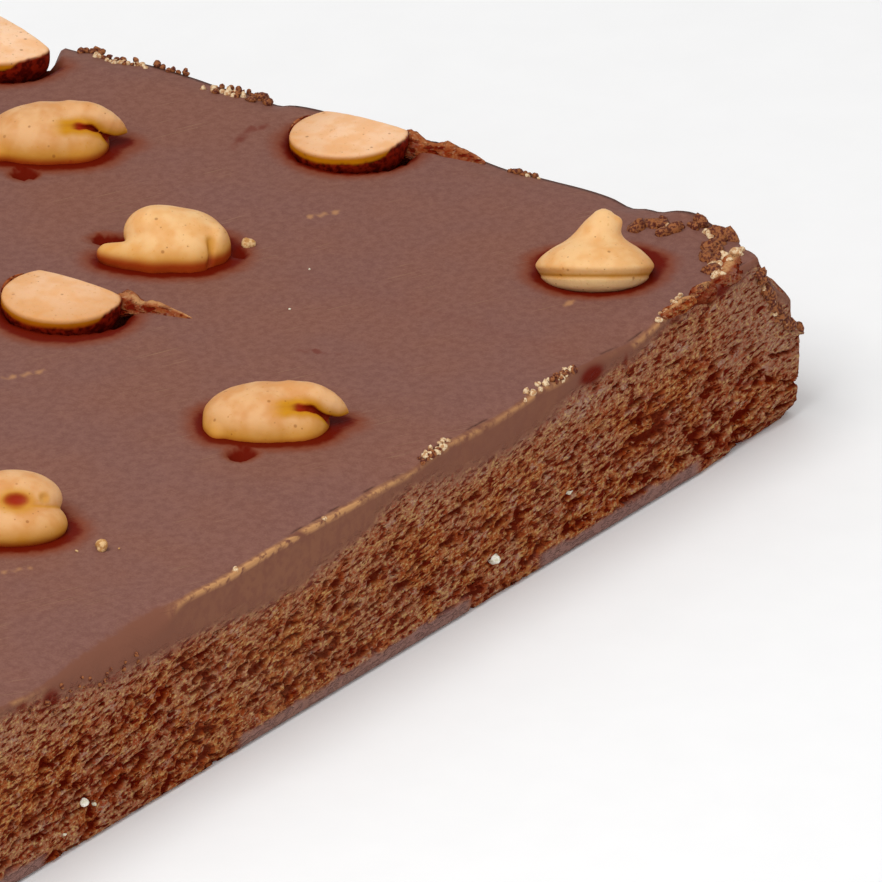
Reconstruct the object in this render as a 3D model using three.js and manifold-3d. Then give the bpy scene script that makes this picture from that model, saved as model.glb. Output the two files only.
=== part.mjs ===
// A thick slab of chocolate fudge with peanut butter baking chips pressed into its top.
// Millimetres, +Z up. The origin is the centre of the flat underside. +X runs along the
// long cut face on the -Y side, and the broken corner is the one at +X, -Y.
import * as THREE from 'three';
import Module from 'manifold-3d';

const wasm = await Module();
wasm.setup();

// ---- the slab ---------------------------------------------------------------------
const LENGTH = 126;            // along X
const WIDTH = 92;              // along Y
const THICKNESS = 16.2;        // underside to smooth top
const CELLS_LONG = 72;         // columns along each long side, even
const CELLS_WIDE = 52;         // columns along each short side, even
const SIDE_ROWS = 6;           // rows of facets up the cut faces
const CORNER_RADIUS = 0.7;     // upright corners, seen from above
const FOOT_ROUND = 0.55;       // softened bottom edge
const EDGE_ROLL = 1.5;         // how far the top edge rolls in
const EDGE_DROP = 1.3;         // how far the top edge rolls down
const ROLL_STEPS = 2;
const RIM_INSET = 3.4;         // border between the edge rings and the top's own grid
const SKIN_HEIGHT = 1.3;       // smooth skin along the foot of the cut faces
const CRUMB_RELIEF = 0.75;     // deepest hollow in the torn cut faces
const CRUMB_LENGTH = 5.5;      // size of those hollows along a face
const CRUMB_RISE = 3.2;        // and up it
const CRUMBLED_EDGE = 0.9;     // how far the top edge has crumbled back
const BACK_EDGE_LOSS = 1.3;    // the +X top edge lost more than the others
const TOP_WAVE = 0.22;         // slow waves left by the spatula
const TOP_WAVE_LENGTH = 31;

// ---- the broken corner --------------------------------------------------------------
const BREAK_REACH = 10;        // how far from the corner the top breaks off, along the short side
const BREAK_SLANT = 1.63;      // along the long side it is this many times nearer
const BREAK_DROP = 5.6;        // how low it ends
const BREAK_BEND = 0.7;        // below 1 the fall is steep at first
const BREAK_ROUGHNESS = 1.1;
const BREAK_RADIUS = 2.3;      // the corner above the ledge
const BREAK_LEDGE = 11.6;      // ledge where the full corner starts, before the top's fall

// ---- baking chips ---------------------------------------------------------------------
const SEAT_GAP = 0.5;          // open groove between a chip and the fudge
const LON_STEPS = 12;          // facets round a chip
const LAT_STEPS = 9;           // facets from one end of a chip to the other
const DIMPLE_DEPTH = 0.12;     // the top sags around every chip
const DIMPLE_RADIUS = 7.5;

const SKIRT_RADIUS = 4.95;     // an upright chip: widest part, just above its foot
const SKIRT_HEIGHT = 0.75;
const NECK_RADIUS = 1.68;      // where the hollow flank turns into the tip
const NECK_HEIGHT = 4.1;
const TIP_RADIUS = 0.5;        // blunt end
const TIP_HEIGHT = 5.5;
const FOOT_RADIUS = 4.6;       // rounded foot under the crease
const FOOT_DEPTH = 1.75;

const FACE_RADIUS = 5.05;      // a cut chip, flat face up
const FACE_RIM = 0.8;          // how far the rim stands above its middle height
const FACE_DEPTH = 3.4;        // how far it goes down into the fudge
const FACE_BEVEL = 0.45;       // softened rim of that face
const FACE_CUT = 2.65;         // the knife passed this far from its centre
const FACE_CROWN = 0.35;       // doming of the face
const KNIFE = 20;              // larger than any chip
const CROWN = 0.07;            // slight doming of a blunt tip
const FLANK_STEPS = 5;

// The other forms are soft bodies: ellipsoids given by centre and semi-axes, and tapering
// limbs given by their ends and end radii, joined with a fillet. X is the way the tip points.
const FALLEN = {
  body: { centre: [-0.85, 0, -0.15], size: [5.3, 4.05, 3.3] },
  tip: { from: [1.6, 0.3, 1.75], to: [5.3, 0, 1.0], radii: [1.6, 0.5], fillet: 0.7 },
  lobe: { centre: [1.7, -0.7, -0.3], size: [2.6, 3.0, 2.0], fillet: 0.6 },
  middle: [0.9, 0, 0.6],
  end: [5.9, 0.1, 0.88],
};
const CURLED = {
  body: { centre: [0.85, 0.1, -0.1], size: [3.9, 3.95, 3.15] },
  crown: { centre: [-1.25, 0.35, 1.2], size: [2.8, 2.7, 2.2], fillet: 0.9 },
  tip: { from: [-0.9, -2.2, -0.1], to: [-5.45, -1.75, 0.15], radii: [1.9, 0.82], fillet: 0.7 },
  lobe: { centre: [3.65, -0.7, 0], size: [1.1, 1.9, 2.2], fillet: 0.45 },
  middle: [-0.6, -0.7, 0.3],
  end: [-6.2, -1.7, 0.15],
};
const SLUMPED = {
  body: { centre: [0.65, 0.85, 1.65], size: [4.0, 3.0, 2.25] },
  lobe: { centre: [0.5, -1.0, 0.3], size: [4.6, 3.4, 2.15], fillet: 0.2 },
  middle: [0.5, -0.2, 0.9],
  end: [6, -0.2, 0.9],
};

// ---- materials --------------------------------------------------------------------------
const FUDGE = { color: 0x855e54, roughness: 0.55, metalness: 0 };
const CHIP = { color: 0xf1ba83, roughness: 0.5, metalness: 0 };

const HALF_LENGTH = LENGTH / 2;
const HALF_WIDTH = WIDTH / 2;
const PERIMETER_CELLS = 2 * (CELLS_LONG + CELLS_WIDE);

// ---- small helpers ------------------------------------------------------------------------
const clamp = (v, lo, hi) => Math.min(hi, Math.max(lo, v));
const mix = (a, b, t) => a + (b - a) * t;
const smooth = (t) => { const u = clamp(t, 0, 1); return u * u * (3 - 2 * u); };
const radians = THREE.MathUtils.degToRad;

/** A repeatable value from 0 to 1 for a lattice point. */
function latticeValue(i, j, seed) {
  const v = Math.sin(i * 127.1 + j * 311.7 + seed * 74.7) * 43758.5453;
  return v - Math.floor(v);
}

/** Smooth noise from 0 to 1 with lattice spacing 1. */
function noise(x, y, seed) {
  const i = Math.floor(x);
  const j = Math.floor(y);
  const u = smooth(x - i);
  const v = smooth(y - j);
  return mix(
    mix(latticeValue(i, j, seed), latticeValue(i + 1, j, seed), u),
    mix(latticeValue(i, j + 1, seed), latticeValue(i + 1, j + 1, seed), u), v);
}

/** Two octaves of the noise, 0 to 1. */
const crumbNoise = (x, y, seed) => 0.65 * noise(x, y, seed) + 0.35 * noise(x * 2.1, y * 2.1, seed + 9);

// ---- the slab's surface -------------------------------------------------------------------
/** Share of the corner break at a plan point: 0 away from it, 1 in the corner. */
function breakShare(x, y) {
  const reach = BREAK_SLANT * (HALF_LENGTH - x) + (y + HALF_WIDTH);
  return clamp(1 - reach / BREAK_REACH, 0, 1);
}

/** How far the top lies below full thickness at a plan point. */
function topLoss(x, y) {
  const share = breakShare(x, y);
  const ragged = BREAK_ROUGHNESS * (noise(x / 1.9, y / 1.9, 5) - 0.5) * smooth(share * 3);
  return share ** BREAK_BEND * BREAK_DROP + ragged;
}

/** Height of the smooth top at a plan point, with waves and the sag around the chips. */
function topHeight(x, y) {
  const wave = TOP_WAVE * (2 * noise(x / TOP_WAVE_LENGTH, y / TOP_WAVE_LENGTH, 3) - 1);
  let sag = 0;
  for (const chip of CHIPS) {
    const far = ((x - chip.at[0]) ** 2 + (y - chip.at[1]) ** 2) / DIMPLE_RADIUS ** 2;
    sag += DIMPLE_DEPTH * Math.exp(-far * far);
  }
  return THICKNESS + wave - sag;
}

/** Corner radius at a height: the broken corner is blunter above its ledge. */
function cornerRadius(x, y, z) {
  const broken = x > 0 && y < 0 ? smooth((z - BREAK_LEDGE) / 0.9) : 0;
  return mix(CORNER_RADIUS, BREAK_RADIUS, broken);
}

/** Turn a point on the inset rectangle into one on the rounded outline, with its normal. */
function roundOutline(x, y, z, inset) {
  const r = cornerRadius(x, y, z);
  const cx = clamp(x, -(HALF_LENGTH - inset - r), HALF_LENGTH - inset - r);
  const cy = clamp(y, -(HALF_WIDTH - inset - r), HALF_WIDTH - inset - r);
  const far = Math.hypot(x - cx, y - cy) || 1;
  const nx = (x - cx) / far;
  const ny = (y - cy) / far;
  return { x: cx + nx * r, y: cy + ny * r, nx, ny };
}

/** Point number `i` around the slab on the rectangle that lies `inset` inside its outline. */
function rectanglePoint(i, inset) {
  const a = HALF_LENGTH - inset;
  const b = HALF_WIDTH - inset;
  if (i < CELLS_LONG) return [mix(-a, a, i / CELLS_LONG), -b];
  if (i < CELLS_LONG + CELLS_WIDE) return [a, mix(-b, b, (i - CELLS_LONG) / CELLS_WIDE)];
  if (i < 2 * CELLS_LONG + CELLS_WIDE) {
    return [mix(a, -a, (i - CELLS_LONG - CELLS_WIDE) / CELLS_LONG), b];
  }
  return [-a, mix(b, -b, (i - 2 * CELLS_LONG - CELLS_WIDE) / CELLS_WIDE)];
}

/** One finished point of the slab's skin; `roll` goes from 0 on a cut face to 1 on the top. */
function skinPoint(i, inset, z, roll) {
  const [rx, ry] = rectanglePoint(i, inset);
  const o = roundOutline(rx, ry, z, inset);
  const along = rx + ry * 1.7;
  const whole = 1 - smooth(3 * breakShare(rx, ry));
  const torn = smooth((z - SKIN_HEIGHT * 0.6) / SKIN_HEIGHT) * (1 - smooth(roll));
  let back = CRUMB_RELIEF * torn * crumbNoise(along / CRUMB_LENGTH, z / CRUMB_RISE, 11);
  const upper = smooth((z - THICKNESS + 3.2) / 3.2) * (1 - smooth(roll - 1));
  back += CRUMBLED_EDGE * upper * crumbNoise(along / 2.6, 0.5, 21);
  if (o.nx > 0.5) back += BACK_EDGE_LOSS * upper * (0.6 + 0.4 * noise(along / 9, 0.5, 31));
  back *= mix(0.35, 1, whole);
  const x = o.x - o.nx * back;
  const y = o.y - o.ny * back;
  const full = roll > 0 ? z + topHeight(x, y) - THICKNESS : z;
  return [x, y, full * (1 - topLoss(x, y) / THICKNESS)];
}

/** The closed skin of the slab: foot, cut faces, rolled top edge, top and underside. */
function slabSkin() {
  const points = [];
  const faces = [];
  const loops = [];
  const addLoop = (inset, z, roll) => {
    const first = points.length;
    for (let i = 0; i < PERIMETER_CELLS; i += 1) points.push(skinPoint(i, inset, z, roll));
    loops.push(first);
  };
  addLoop(FOOT_ROUND, 0, 0);
  for (let k = 0; k < SIDE_ROWS; k += 1) {
    addLoop(0, mix(FOOT_ROUND, THICKNESS - EDGE_DROP, k / (SIDE_ROWS - 1)), 0);
  }
  for (let k = 1; k <= ROLL_STEPS; k += 1) {
    const a = (k / ROLL_STEPS) * Math.PI / 2;
    addLoop(EDGE_ROLL * (1 - Math.cos(a)), THICKNESS - EDGE_DROP * (1 - Math.sin(a)), k / ROLL_STEPS);
  }
  const wrap = (i) => (i + PERIMETER_CELLS) % PERIMETER_CELLS;
  for (let l = 0; l + 1 < loops.length; l += 1) {
    for (let i = 0; i < PERIMETER_CELLS; i += 1) {
      const [a, b] = [loops[l] + i, loops[l] + wrap(i + 1)];
      const [c, d] = [loops[l + 1] + i, loops[l + 1] + wrap(i + 1)];
      if ((i + l) % 2) faces.push([a, b, d], [a, d, c]);
      else faces.push([a, b, c], [b, d, c]);
    }
  }

  // The top's own grid has one cell for every two columns of the rings around it.
  const nx = CELLS_LONG / 2;
  const ny = CELLS_WIDE / 2;
  const grid = points.length;
  for (let j = 0; j <= ny; j += 1) {
    for (let i = 0; i <= nx; i += 1) {
      const x = mix(-1, 1, i / nx) * (HALF_LENGTH - RIM_INSET);
      const y = mix(-1, 1, j / ny) * (HALF_WIDTH - RIM_INSET);
      points.push([x, y, topHeight(x, y) - topLoss(x, y)]);
    }
  }
  const at = (i, j) => grid + j * (nx + 1) + i;
  for (let j = 0; j < ny; j += 1) {
    for (let i = 0; i < nx; i += 1) {
      const [a, b, c, d] = [at(i, j), at(i + 1, j), at(i + 1, j + 1), at(i, j + 1)];
      if ((i + j) % 2) faces.push([a, b, c], [a, c, d]);
      else faces.push([a, b, d], [b, c, d]);
    }
  }
  const border = [];
  for (let i = 0; i < nx; i += 1) border.push(at(i, 0));
  for (let j = 0; j < ny; j += 1) border.push(at(nx, j));
  for (let i = nx; i > 0; i -= 1) border.push(at(i, ny));
  for (let j = ny; j > 0; j -= 1) border.push(at(0, j));
  const rim = loops[loops.length - 1];
  for (let k = 0; k < border.length; k += 1) {
    const [a, b, c] = [rim + 2 * k, rim + 2 * k + 1, rim + wrap(2 * k + 2)];
    const [p, q] = [border[k], border[(k + 1) % border.length]];
    faces.push([a, b, p], [b, q, p], [b, c, q]);
  }

  // The underside is flat.
  const outline = points.slice(0, PERIMETER_CELLS).map(([x, y]) => new THREE.Vector2(x, y));
  for (const [a, b, c] of THREE.ShapeUtils.triangulateShape(outline, [])) faces.push([a, c, b]);
  return toManifold(points, faces);
}

// ---- solids from rules -----------------------------------------------------------------------
function toManifold(points, faces) {
  return new wasm.Manifold(new wasm.Mesh({
    numProp: 3,
    vertProperties: new Float32Array(points.flat()),
    triVerts: new Uint32Array(faces.flat()),
  }));
}

/** Signed depth inside (-) or outside (+) an ellipsoid with semi-axes r. */
function ellipsoid(p, c, r) {
  const q = [0, 1, 2].map((k) => (p[k] - c[k]) / r[k]);
  const g = [0, 1, 2].map((k) => q[k] / r[k]);
  const length = Math.hypot(...q);
  return length * (length - 1) / (Math.hypot(...g) || 1e-6);
}

/** Signed depth of a limb that runs from a to b and tapers from radius ra to rb. */
function limb(p, a, b, ra, rb) {
  const ab = b.map((v, k) => v - a[k]);
  const ap = p.map((v, k) => v - a[k]);
  const dot = (u, v) => u[0] * v[0] + u[1] * v[1] + u[2] * v[2];
  const t = clamp(dot(ab, ap) / dot(ab, ab), 0, 1);
  return Math.hypot(...ap.map((v, k) => v - ab[k] * t)) - mix(ra, rb, t);
}

/** Join two signed depths with a soft fillet of size k. */
function join(a, b, k) {
  const h = Math.max(k - Math.abs(a - b), 0) / k;
  return Math.min(a, b) - h * h * k / 4;
}

/** A closed solid around `centre` whose surface lies where `depth` is zero; one pole at `tip`. */
function radialSolid(depth, centre, tip) {
  const turn = new THREE.Quaternion().setFromUnitVectors(
    new THREE.Vector3(1, 0, 0), new THREE.Vector3(...tip.map((t, k) => t - centre[k])).normalize());
  const reach = (direction) => {
    const dir = new THREE.Vector3(...direction).applyQuaternion(turn).toArray();
    let [near, far] = [0, 0.25];
    const value = (t) => depth(centre.map((c, k) => c + dir[k] * t));
    while (value(far) < 0) { near = far; far += 0.25; }
    for (let k = 0; k < 24; k += 1) {
      const half = (near + far) / 2;
      if (value(half) < 0) near = half; else far = half;
    }
    return centre.map((c, k) => c + dir[k] * near);
  };
  const points = [reach([1, 0, 0]), reach([-1, 0, 0])];
  for (let j = 1; j < LAT_STEPS; j += 1) {
    const a = Math.PI * (j / LAT_STEPS) ** 1.2;
    for (let i = 0; i < LON_STEPS; i += 1) {
      const b = 2 * Math.PI * (i + (j % 2) / 2) / LON_STEPS;
      points.push(reach([Math.cos(a), Math.sin(a) * Math.cos(b), Math.sin(a) * Math.sin(b)]));
    }
  }
  const ring = (j, i) => 2 + (j - 1) * LON_STEPS + (i + LON_STEPS) % LON_STEPS;
  const faces = [];
  for (let i = 0; i < LON_STEPS; i += 1) {
    faces.push([0, ring(1, i), ring(1, i + 1)], [1, ring(LAT_STEPS - 1, i + 1), ring(LAT_STEPS - 1, i)]);
    for (let j = 1; j + 1 < LAT_STEPS; j += 1) {
      const shift = j % 2;
      faces.push([ring(j, i), ring(j + 1, i + shift), ring(j, i + 1)]);
      faces.push([ring(j, i + 1 - shift), ring(j + 1, i), ring(j + 1, i + 1)]);
    }
  }
  return toManifold(points, faces);
}

/** A solid of revolution about Z from its profile of [radius, height], bottom to top. */
function turned(profile) {
  const points = [[0, 0, profile[0][1]], [0, 0, profile[profile.length - 1][1]]];
  const rings = profile.slice(1, -1);
  rings.forEach(([r, z], j) => {
    for (let i = 0; i < LON_STEPS; i += 1) {
      const b = 2 * Math.PI * (i + (j % 2) / 2) / LON_STEPS;
      points.push([r * Math.cos(b), r * Math.sin(b), z]);
    }
  });
  const ring = (j, i) => 2 + j * LON_STEPS + (i + LON_STEPS) % LON_STEPS;
  const faces = [];
  for (let i = 0; i < LON_STEPS; i += 1) {
    const last = rings.length - 1;
    faces.push([0, ring(0, i + 1), ring(0, i)], [1, ring(last, i), ring(last, i + 1)]);
    for (let j = 0; j + 1 < rings.length; j += 1) {
      const shift = j % 2;
      faces.push([ring(j, i), ring(j, i + 1), ring(j + 1, i + shift)]);
      faces.push([ring(j, i + 1 - shift), ring(j + 1, i + 1), ring(j + 1, i)]);
    }
  }
  return toManifold(points, faces);
}

// ---- forms of a baking chip: each grows by `grow` all round to cut its own seat -----------------
/** Upright drop: rounded foot, crease, wide skirt, hollow flank and a blunt tip. */
function uprightChip(grow) {
  const profile = [[0, -FOOT_DEPTH - grow]];
  for (const a of [60, 30, 0]) {
    const c = Math.cos(radians(a));
    const s = Math.sin(radians(a));
    profile.push([(FOOT_RADIUS + grow) * c, -(FOOT_DEPTH + grow) * s]);
  }
  for (let k = 0; k <= FLANK_STEPS; k += 1) {
    const h = mix(SKIRT_HEIGHT, NECK_HEIGHT, k / FLANK_STEPS);
    profile.push([grow + mix(SKIRT_RADIUS, NECK_RADIUS, smooth(k / FLANK_STEPS)), h]);
  }
  profile.push([grow + TIP_RADIUS, TIP_HEIGHT + grow], [0, TIP_HEIGHT + CROWN + grow]);
  return turned(profile);
}

/** A soft-bodied chip: its body and lobe, with the crown and the tip it has, if any. */
function softChip(shape, grow) {
  const { body, crown, tip, lobe, middle, end } = shape;
  const depth = (p) => {
    let d = ellipsoid(p, body.centre, body.size);
    if (crown) d = join(d, ellipsoid(p, crown.centre, crown.size), crown.fillet);
    if (tip) d = join(d, limb(p, tip.from, tip.to, ...tip.radii), tip.fillet);
    return join(d, ellipsoid(p, lobe.centre, lobe.size), lobe.fillet) - grow;
  };
  return radialSolid(depth, middle, end);
}

/** Fallen drop: a blunt body, a tip folded over towards +X and a lobe under the fold. */
const fallenChip = (grow) => softChip(FALLEN, grow);

/** Curled drop: a round dome with its tip drawn out low towards -X and a lobe at +X. */
const curledChip = (grow) => softChip(CURLED, grow);

/** Slumped drop: an upper lobe resting on a wider foot with a crease between them. */
const slumpedChip = (grow) => softChip(SLUMPED, grow);

/** Cut drop: foot up, its flat face level with the top, one side sliced off at +X. */
function cutChip(grow) {
  const profile = [[0, -FACE_DEPTH - grow]];
  for (const a of [62, 38, 18, 0]) {
    const c = Math.cos(radians(a));
    const s = Math.sin(radians(a));
    profile.push([(FACE_RADIUS + grow) * c, -(FACE_DEPTH + grow) * s]);
  }
  profile.push([FACE_RADIUS + grow, FACE_RIM * 0.5 + grow / 2]);
  profile.push([FACE_RADIUS - FACE_BEVEL + grow, FACE_RIM + grow]);
  profile.push([0, FACE_RIM + FACE_CROWN + grow]);
  const knife = wasm.Manifold.cube([KNIFE, 2 * KNIFE, 2 * KNIFE], true)
    .translate([FACE_CUT + KNIFE / 2 + grow, 0, 0]);
  return turned(profile).subtract(knife);
}

// Where each chip sits, the way it is turned, and how far it leans towards a heading.
const CHIPS = [
  { name: 'chip_01', form: cutChip, at: [55.2, 31.2], turn: -23, lift: 0.6 },
  { name: 'chip_02', form: fallenChip, at: [43.1, 16.4], turn: -55 },
  { name: 'chip_03', form: curledChip, at: [31.0, -4.4], turn: -55 },
  { name: 'chip_04', form: cutChip, at: [16.73, -3.45], turn: 0, lean: 2, heading: -145 },
  { name: 'chip_05', form: fallenChip, at: [7.3, -31.7], turn: -55 },
  { name: 'chip_06', form: cutChip, at: [56.93, -4.05], turn: 0, lean: 2.9, heading: 125, lift: 0.3 },
  { name: 'chip_07', form: uprightChip, at: [47.0, -35.9], turn: 0, lean: 22, heading: 35, lift: -0.25 },
  { name: 'chip_08', form: slumpedChip, at: [-21.2, -25.2], turn: -55 },
  { name: 'chip_09', form: curledChip, at: [36.5, 38.2], turn: 70 },
  { name: 'chip_10', form: uprightChip, at: [19.6, 22.6], turn: 0, lean: 12, heading: -150, lift: -0.2 },
  { name: 'chip_11', form: fallenChip, at: [-3.4, 8.8], turn: 150 },
  { name: 'chip_12', form: slumpedChip, at: [0.8, 37.1], turn: 20 },
  { name: 'chip_13', form: cutChip, at: [-27.6, 24.3], turn: 200, lean: 6, heading: 60 },
  { name: 'chip_14', form: uprightChip, at: [-26.5, 1.4], turn: 0, lean: 27, heading: -70, lift: -0.2 },
  { name: 'chip_15', form: curledChip, at: [-47.2, -20.3], turn: 165 },
  { name: 'chip_16', form: fallenChip, at: [-50.8, 9.1], turn: 35 },
  { name: 'chip_17', form: slumpedChip, at: [-46.6, 36.0], turn: -120 },
];

/** A chip's solid in its place on the slab, grown by `grow` all round. */
function placedChip(chip, grow) {
  const heading = radians(chip.heading ?? 0);
  const lean = new THREE.Matrix4().makeRotationAxis(
    new THREE.Vector3(-Math.sin(heading), Math.cos(heading), 0), radians(chip.lean ?? 0));
  const turn = new THREE.Matrix4().makeRotationZ(radians(chip.turn));
  const place = new THREE.Matrix4()
    .makeTranslation(chip.at[0], chip.at[1], THICKNESS + (chip.lift ?? 0)).multiply(lean).multiply(turn);
  return chip.form(grow).transform(place.toArray());
}

// ---- pits and torn crumbs -------------------------------------------------------------------------
const PITS = [
  { at: [36.6, 14.9], size: 0.85 }, { at: [0.4, -33.3], size: 0.9 },
  { at: [-12.5, 20.5], size: 0.8 }, { at: [-38.0, -4.5], size: 0.85 },
];

// A bite out of the +X edge beside the chip that lies on it, by its corners.
const EDGE_BITE = [
  [55.8, 26.2, 17], [59.3, 27.5, 17], [64, 29.2, 17], [64, 34, 17], [58, 31, 17],
  [56.4, 27.0, 15.7], [60.5, 29.5, 13.7], [64, 31.8, 12.0], [64, 33.2, 12.1],
];

// Rows of crumbs torn up by the knife and still joined to the slab.
const CRUMB_ROWS = [
  { from: [20.2, -7.4], to: [20.6, -13.4], count: 5, size: 1.15, seed: 1 },
  { from: [59.8, -8.4], to: [60.2, -14.2], count: 5, size: 1.25, seed: 2 },
  { from: [58.6, 10.7], to: [58.8, 5.6], count: 3, size: 0.85, seed: 3 },
  { from: [58.2, -33.8], to: [58.0, -37.0], count: 3, size: 0.95, seed: 4 },
  { from: [58.6, -40.0], to: [57.2, -42.2], count: 2, size: 1.0, seed: 5 },
  { from: [59.0, -21.4], to: [59.1, -22.6], count: 1, size: 0.8, seed: 6 },
  { from: [-59.6, -8.0], to: [-59.9, -14.5], count: 3, size: 1.0, seed: 7 },
  { from: [-8.0, 42.9], to: [-14.0, 43.2], count: 3, size: 1.1, seed: 8 },
  { from: [26.0, 43.0], to: [30.5, 42.8], count: 2, size: 0.9, seed: 9 },
];

/** One angular crumb: a knocked-about icosahedron. */
function crumb(x, y, z, size, seed) {
  const shape = new THREE.IcosahedronGeometry(size, 0);
  const corners = new Map();
  const points = [];
  const faces = [];
  const pos = shape.getAttribute('position');
  for (let i = 0; i < pos.count; i += 3) {
    faces.push([0, 1, 2].map((k) => {
      const v = [pos.getX(i + k), pos.getY(i + k), pos.getZ(i + k)];
      const key = v.map((c) => c.toFixed(3)).join();
      if (!corners.has(key)) {
        const knock = 0.72 + 0.5 * latticeValue(corners.size, 1, seed);
        corners.set(key, points.length);
        points.push([x + v[0] * knock, y + v[1] * knock, z + v[2] * knock * 0.8]);
      }
      return corners.get(key);
    }));
  }
  return toManifold(points, faces);
}

// ---- assembly ----------------------------------------------------------------------------------------
let slab = slabSkin();
for (const row of CRUMB_ROWS) {
  for (let k = 0; k < row.count; k += 1) {
    const t = (k + 0.5) / row.count;
    const x = mix(row.from[0], row.to[0], t);
    const y = mix(row.from[1], row.to[1], t);
    const size = row.size * mix(1, 0.6, t);
    slab = slab.add(crumb(x, y, topHeight(x, y) - topLoss(x, y) - 0.1, size, row.seed * 10 + k));
  }
}
for (const pit of PITS) {
  slab = slab.subtract(crumb(pit.at[0], pit.at[1], topHeight(...pit.at), pit.size, 77));
}
slab = slab.subtract(wasm.Manifold.hull(EDGE_BITE));
for (const chip of CHIPS) slab = slab.subtract(placedChip(chip, SEAT_GAP));

/** A named mesh with flat facets and a material of its own. */
function toMesh(solid, name, finish) {
  const { vertProperties, triVerts } = solid.getMesh();
  const geometry = new THREE.BufferGeometry();
  geometry.setAttribute('position', new THREE.BufferAttribute(vertProperties, 3));
  geometry.setIndex(new THREE.BufferAttribute(triVerts, 1));
  geometry.computeVertexNormals();
  const mesh = new THREE.Mesh(geometry, new THREE.MeshStandardMaterial({ ...finish, flatShading: true }));
  mesh.name = name;
  return mesh;
}

const group = new THREE.Group();
group.name = 'chocolate_fudge';
group.add(toMesh(slab, 'fudge_slab', FUDGE));
for (const chip of CHIPS) group.add(toMesh(placedChip(chip, 0), chip.name, CHIP));

export default group;
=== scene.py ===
"""A slab of chocolate fudge with peanut butter baking chips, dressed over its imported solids.

Every formula works in millimetres in the solids' own frame: the origin is the centre of the
flat underside, +X runs along the long cut face on the -Y side, and +Z is up. Lengths turn to
metres only where a mesh, a light or the camera is made.
"""

import logging
import math
from dataclasses import dataclass
from enum import Enum
from typing import Callable, Mapping, Sequence

import bpy
import numpy as np
from mathutils import Matrix, Vector


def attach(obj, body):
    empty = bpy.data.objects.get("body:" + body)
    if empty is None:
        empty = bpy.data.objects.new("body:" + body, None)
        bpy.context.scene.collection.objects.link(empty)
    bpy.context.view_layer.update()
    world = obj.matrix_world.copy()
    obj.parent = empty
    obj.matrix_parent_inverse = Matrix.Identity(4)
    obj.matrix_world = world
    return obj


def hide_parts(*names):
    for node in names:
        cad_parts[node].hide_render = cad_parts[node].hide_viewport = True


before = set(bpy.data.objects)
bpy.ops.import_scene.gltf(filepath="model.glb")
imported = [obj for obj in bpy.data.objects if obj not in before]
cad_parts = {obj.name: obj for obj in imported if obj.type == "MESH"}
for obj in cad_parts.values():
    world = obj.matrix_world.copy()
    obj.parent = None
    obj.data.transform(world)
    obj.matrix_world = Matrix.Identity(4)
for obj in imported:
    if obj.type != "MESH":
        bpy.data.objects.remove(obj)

LOG = logging.getLogger("chocolate_fudge")
MM = 0.001
Array = np.ndarray
Triple = tuple[float, float, float]
Knots = tuple[tuple[float, float], ...]
Rows = tuple[tuple[float, ...], ...]
Ball = tuple[Triple, Triple]
Depth = Callable[[Array], Array]

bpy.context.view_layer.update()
# The distance painted where no chip is near, in millimetres.
NO_CHIP_NEAR = 9.0


# ---- plain arithmetic ----
def smooth(t: Array | float) -> Array:
    """Ease from 0 to 1: three t squared less two t cubed, with t held between 0 and 1."""
    u = np.clip(t, 0.0, 1.0)
    return u * u * (3.0 - 2.0 * u)


def mix(a: Array | float, b: Array | float, t: Array | float) -> Array:
    """Straight blend from a to b as t goes from 0 to 1."""
    return a + (b - a) * t


def bell(distance: Array, width: float) -> Array:
    """Bell curve: e to minus the square of distance over width."""
    return np.exp(-((distance / width) ** 2))


def span(x: Array, low: float, high: float, soft: float) -> Array:
    """One between low and high, easing to nothing over `soft` outside them."""
    return smooth((x - low) / soft + 1.0) * smooth((high - x) / soft + 1.0)


def course(x: Array, knots: Sequence[tuple[float, float]]) -> Array:
    """A smooth curve through a few knots, level beyond its ends.

    Args:
        x: Where to read it.
        knots: Pairs of place and value, in rising order.

    Returns:
        Cubic pieces through the knots, whose slopes are the mean of the slopes beside them.
    """
    at, value = np.array(knots, float).T
    step = np.diff(value) / np.diff(at)
    slope = np.concatenate([[0.0], (step[:-1] + step[1:]) / 2, [0.0]])
    k = np.clip(np.searchsorted(at, x) - 1, 0, len(at) - 2)
    width = at[k + 1] - at[k]
    t = np.clip((x - at[k]) / width, 0, 1)
    low = value[k] * (1 + 2 * t) * (1 - t) ** 2 + value[k + 1] * t * t * (3 - 2 * t)
    return low + width * (slope[k] * t * (1 - t) ** 2 - slope[k + 1] * t * t * (1 - t))


def lattice_value(i: Array, j: Array, seed: float) -> Array:
    """A repeatable value from 0 to 1 for each lattice point.

    Args:
        i: Whole numbers along the first axis.
        j: Whole numbers along the second axis.
        seed: Which pattern.

    Returns:
        The fractional part of a large multiple of a sine of the two.
    """
    v = np.sin(i * 127.1 + j * 311.7 + seed * 74.7) * 43758.5453
    return v - np.floor(v)


def noise(x: Array, y: Array, seed: float) -> Array:
    """Smooth noise from 0 to 1 whose lattice has spacing 1.

    Args:
        x: First coordinate.
        y: Second coordinate.
        seed: Which pattern.

    Returns:
        The four lattice values around each point, eased together along both axes.
    """
    x, y = np.broadcast_arrays(np.asarray(x, float), np.asarray(y, float))
    i, j = np.floor(x), np.floor(y)
    u, v = smooth(x - i), smooth(y - j)
    low = mix(lattice_value(i, j, seed), lattice_value(i + 1, j, seed), u)
    high = mix(lattice_value(i, j + 1, seed), lattice_value(i + 1, j + 1, seed), u)
    return mix(low, high, v)


def crumb_noise(x: Array, y: Array, seed: float) -> Array:
    """Two octaves of the noise, 0 to 1, as in the solids' own relief."""
    return 0.65 * noise(x, y, seed) + 0.35 * noise(x * 2.1, y * 2.1, seed + 9)


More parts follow.
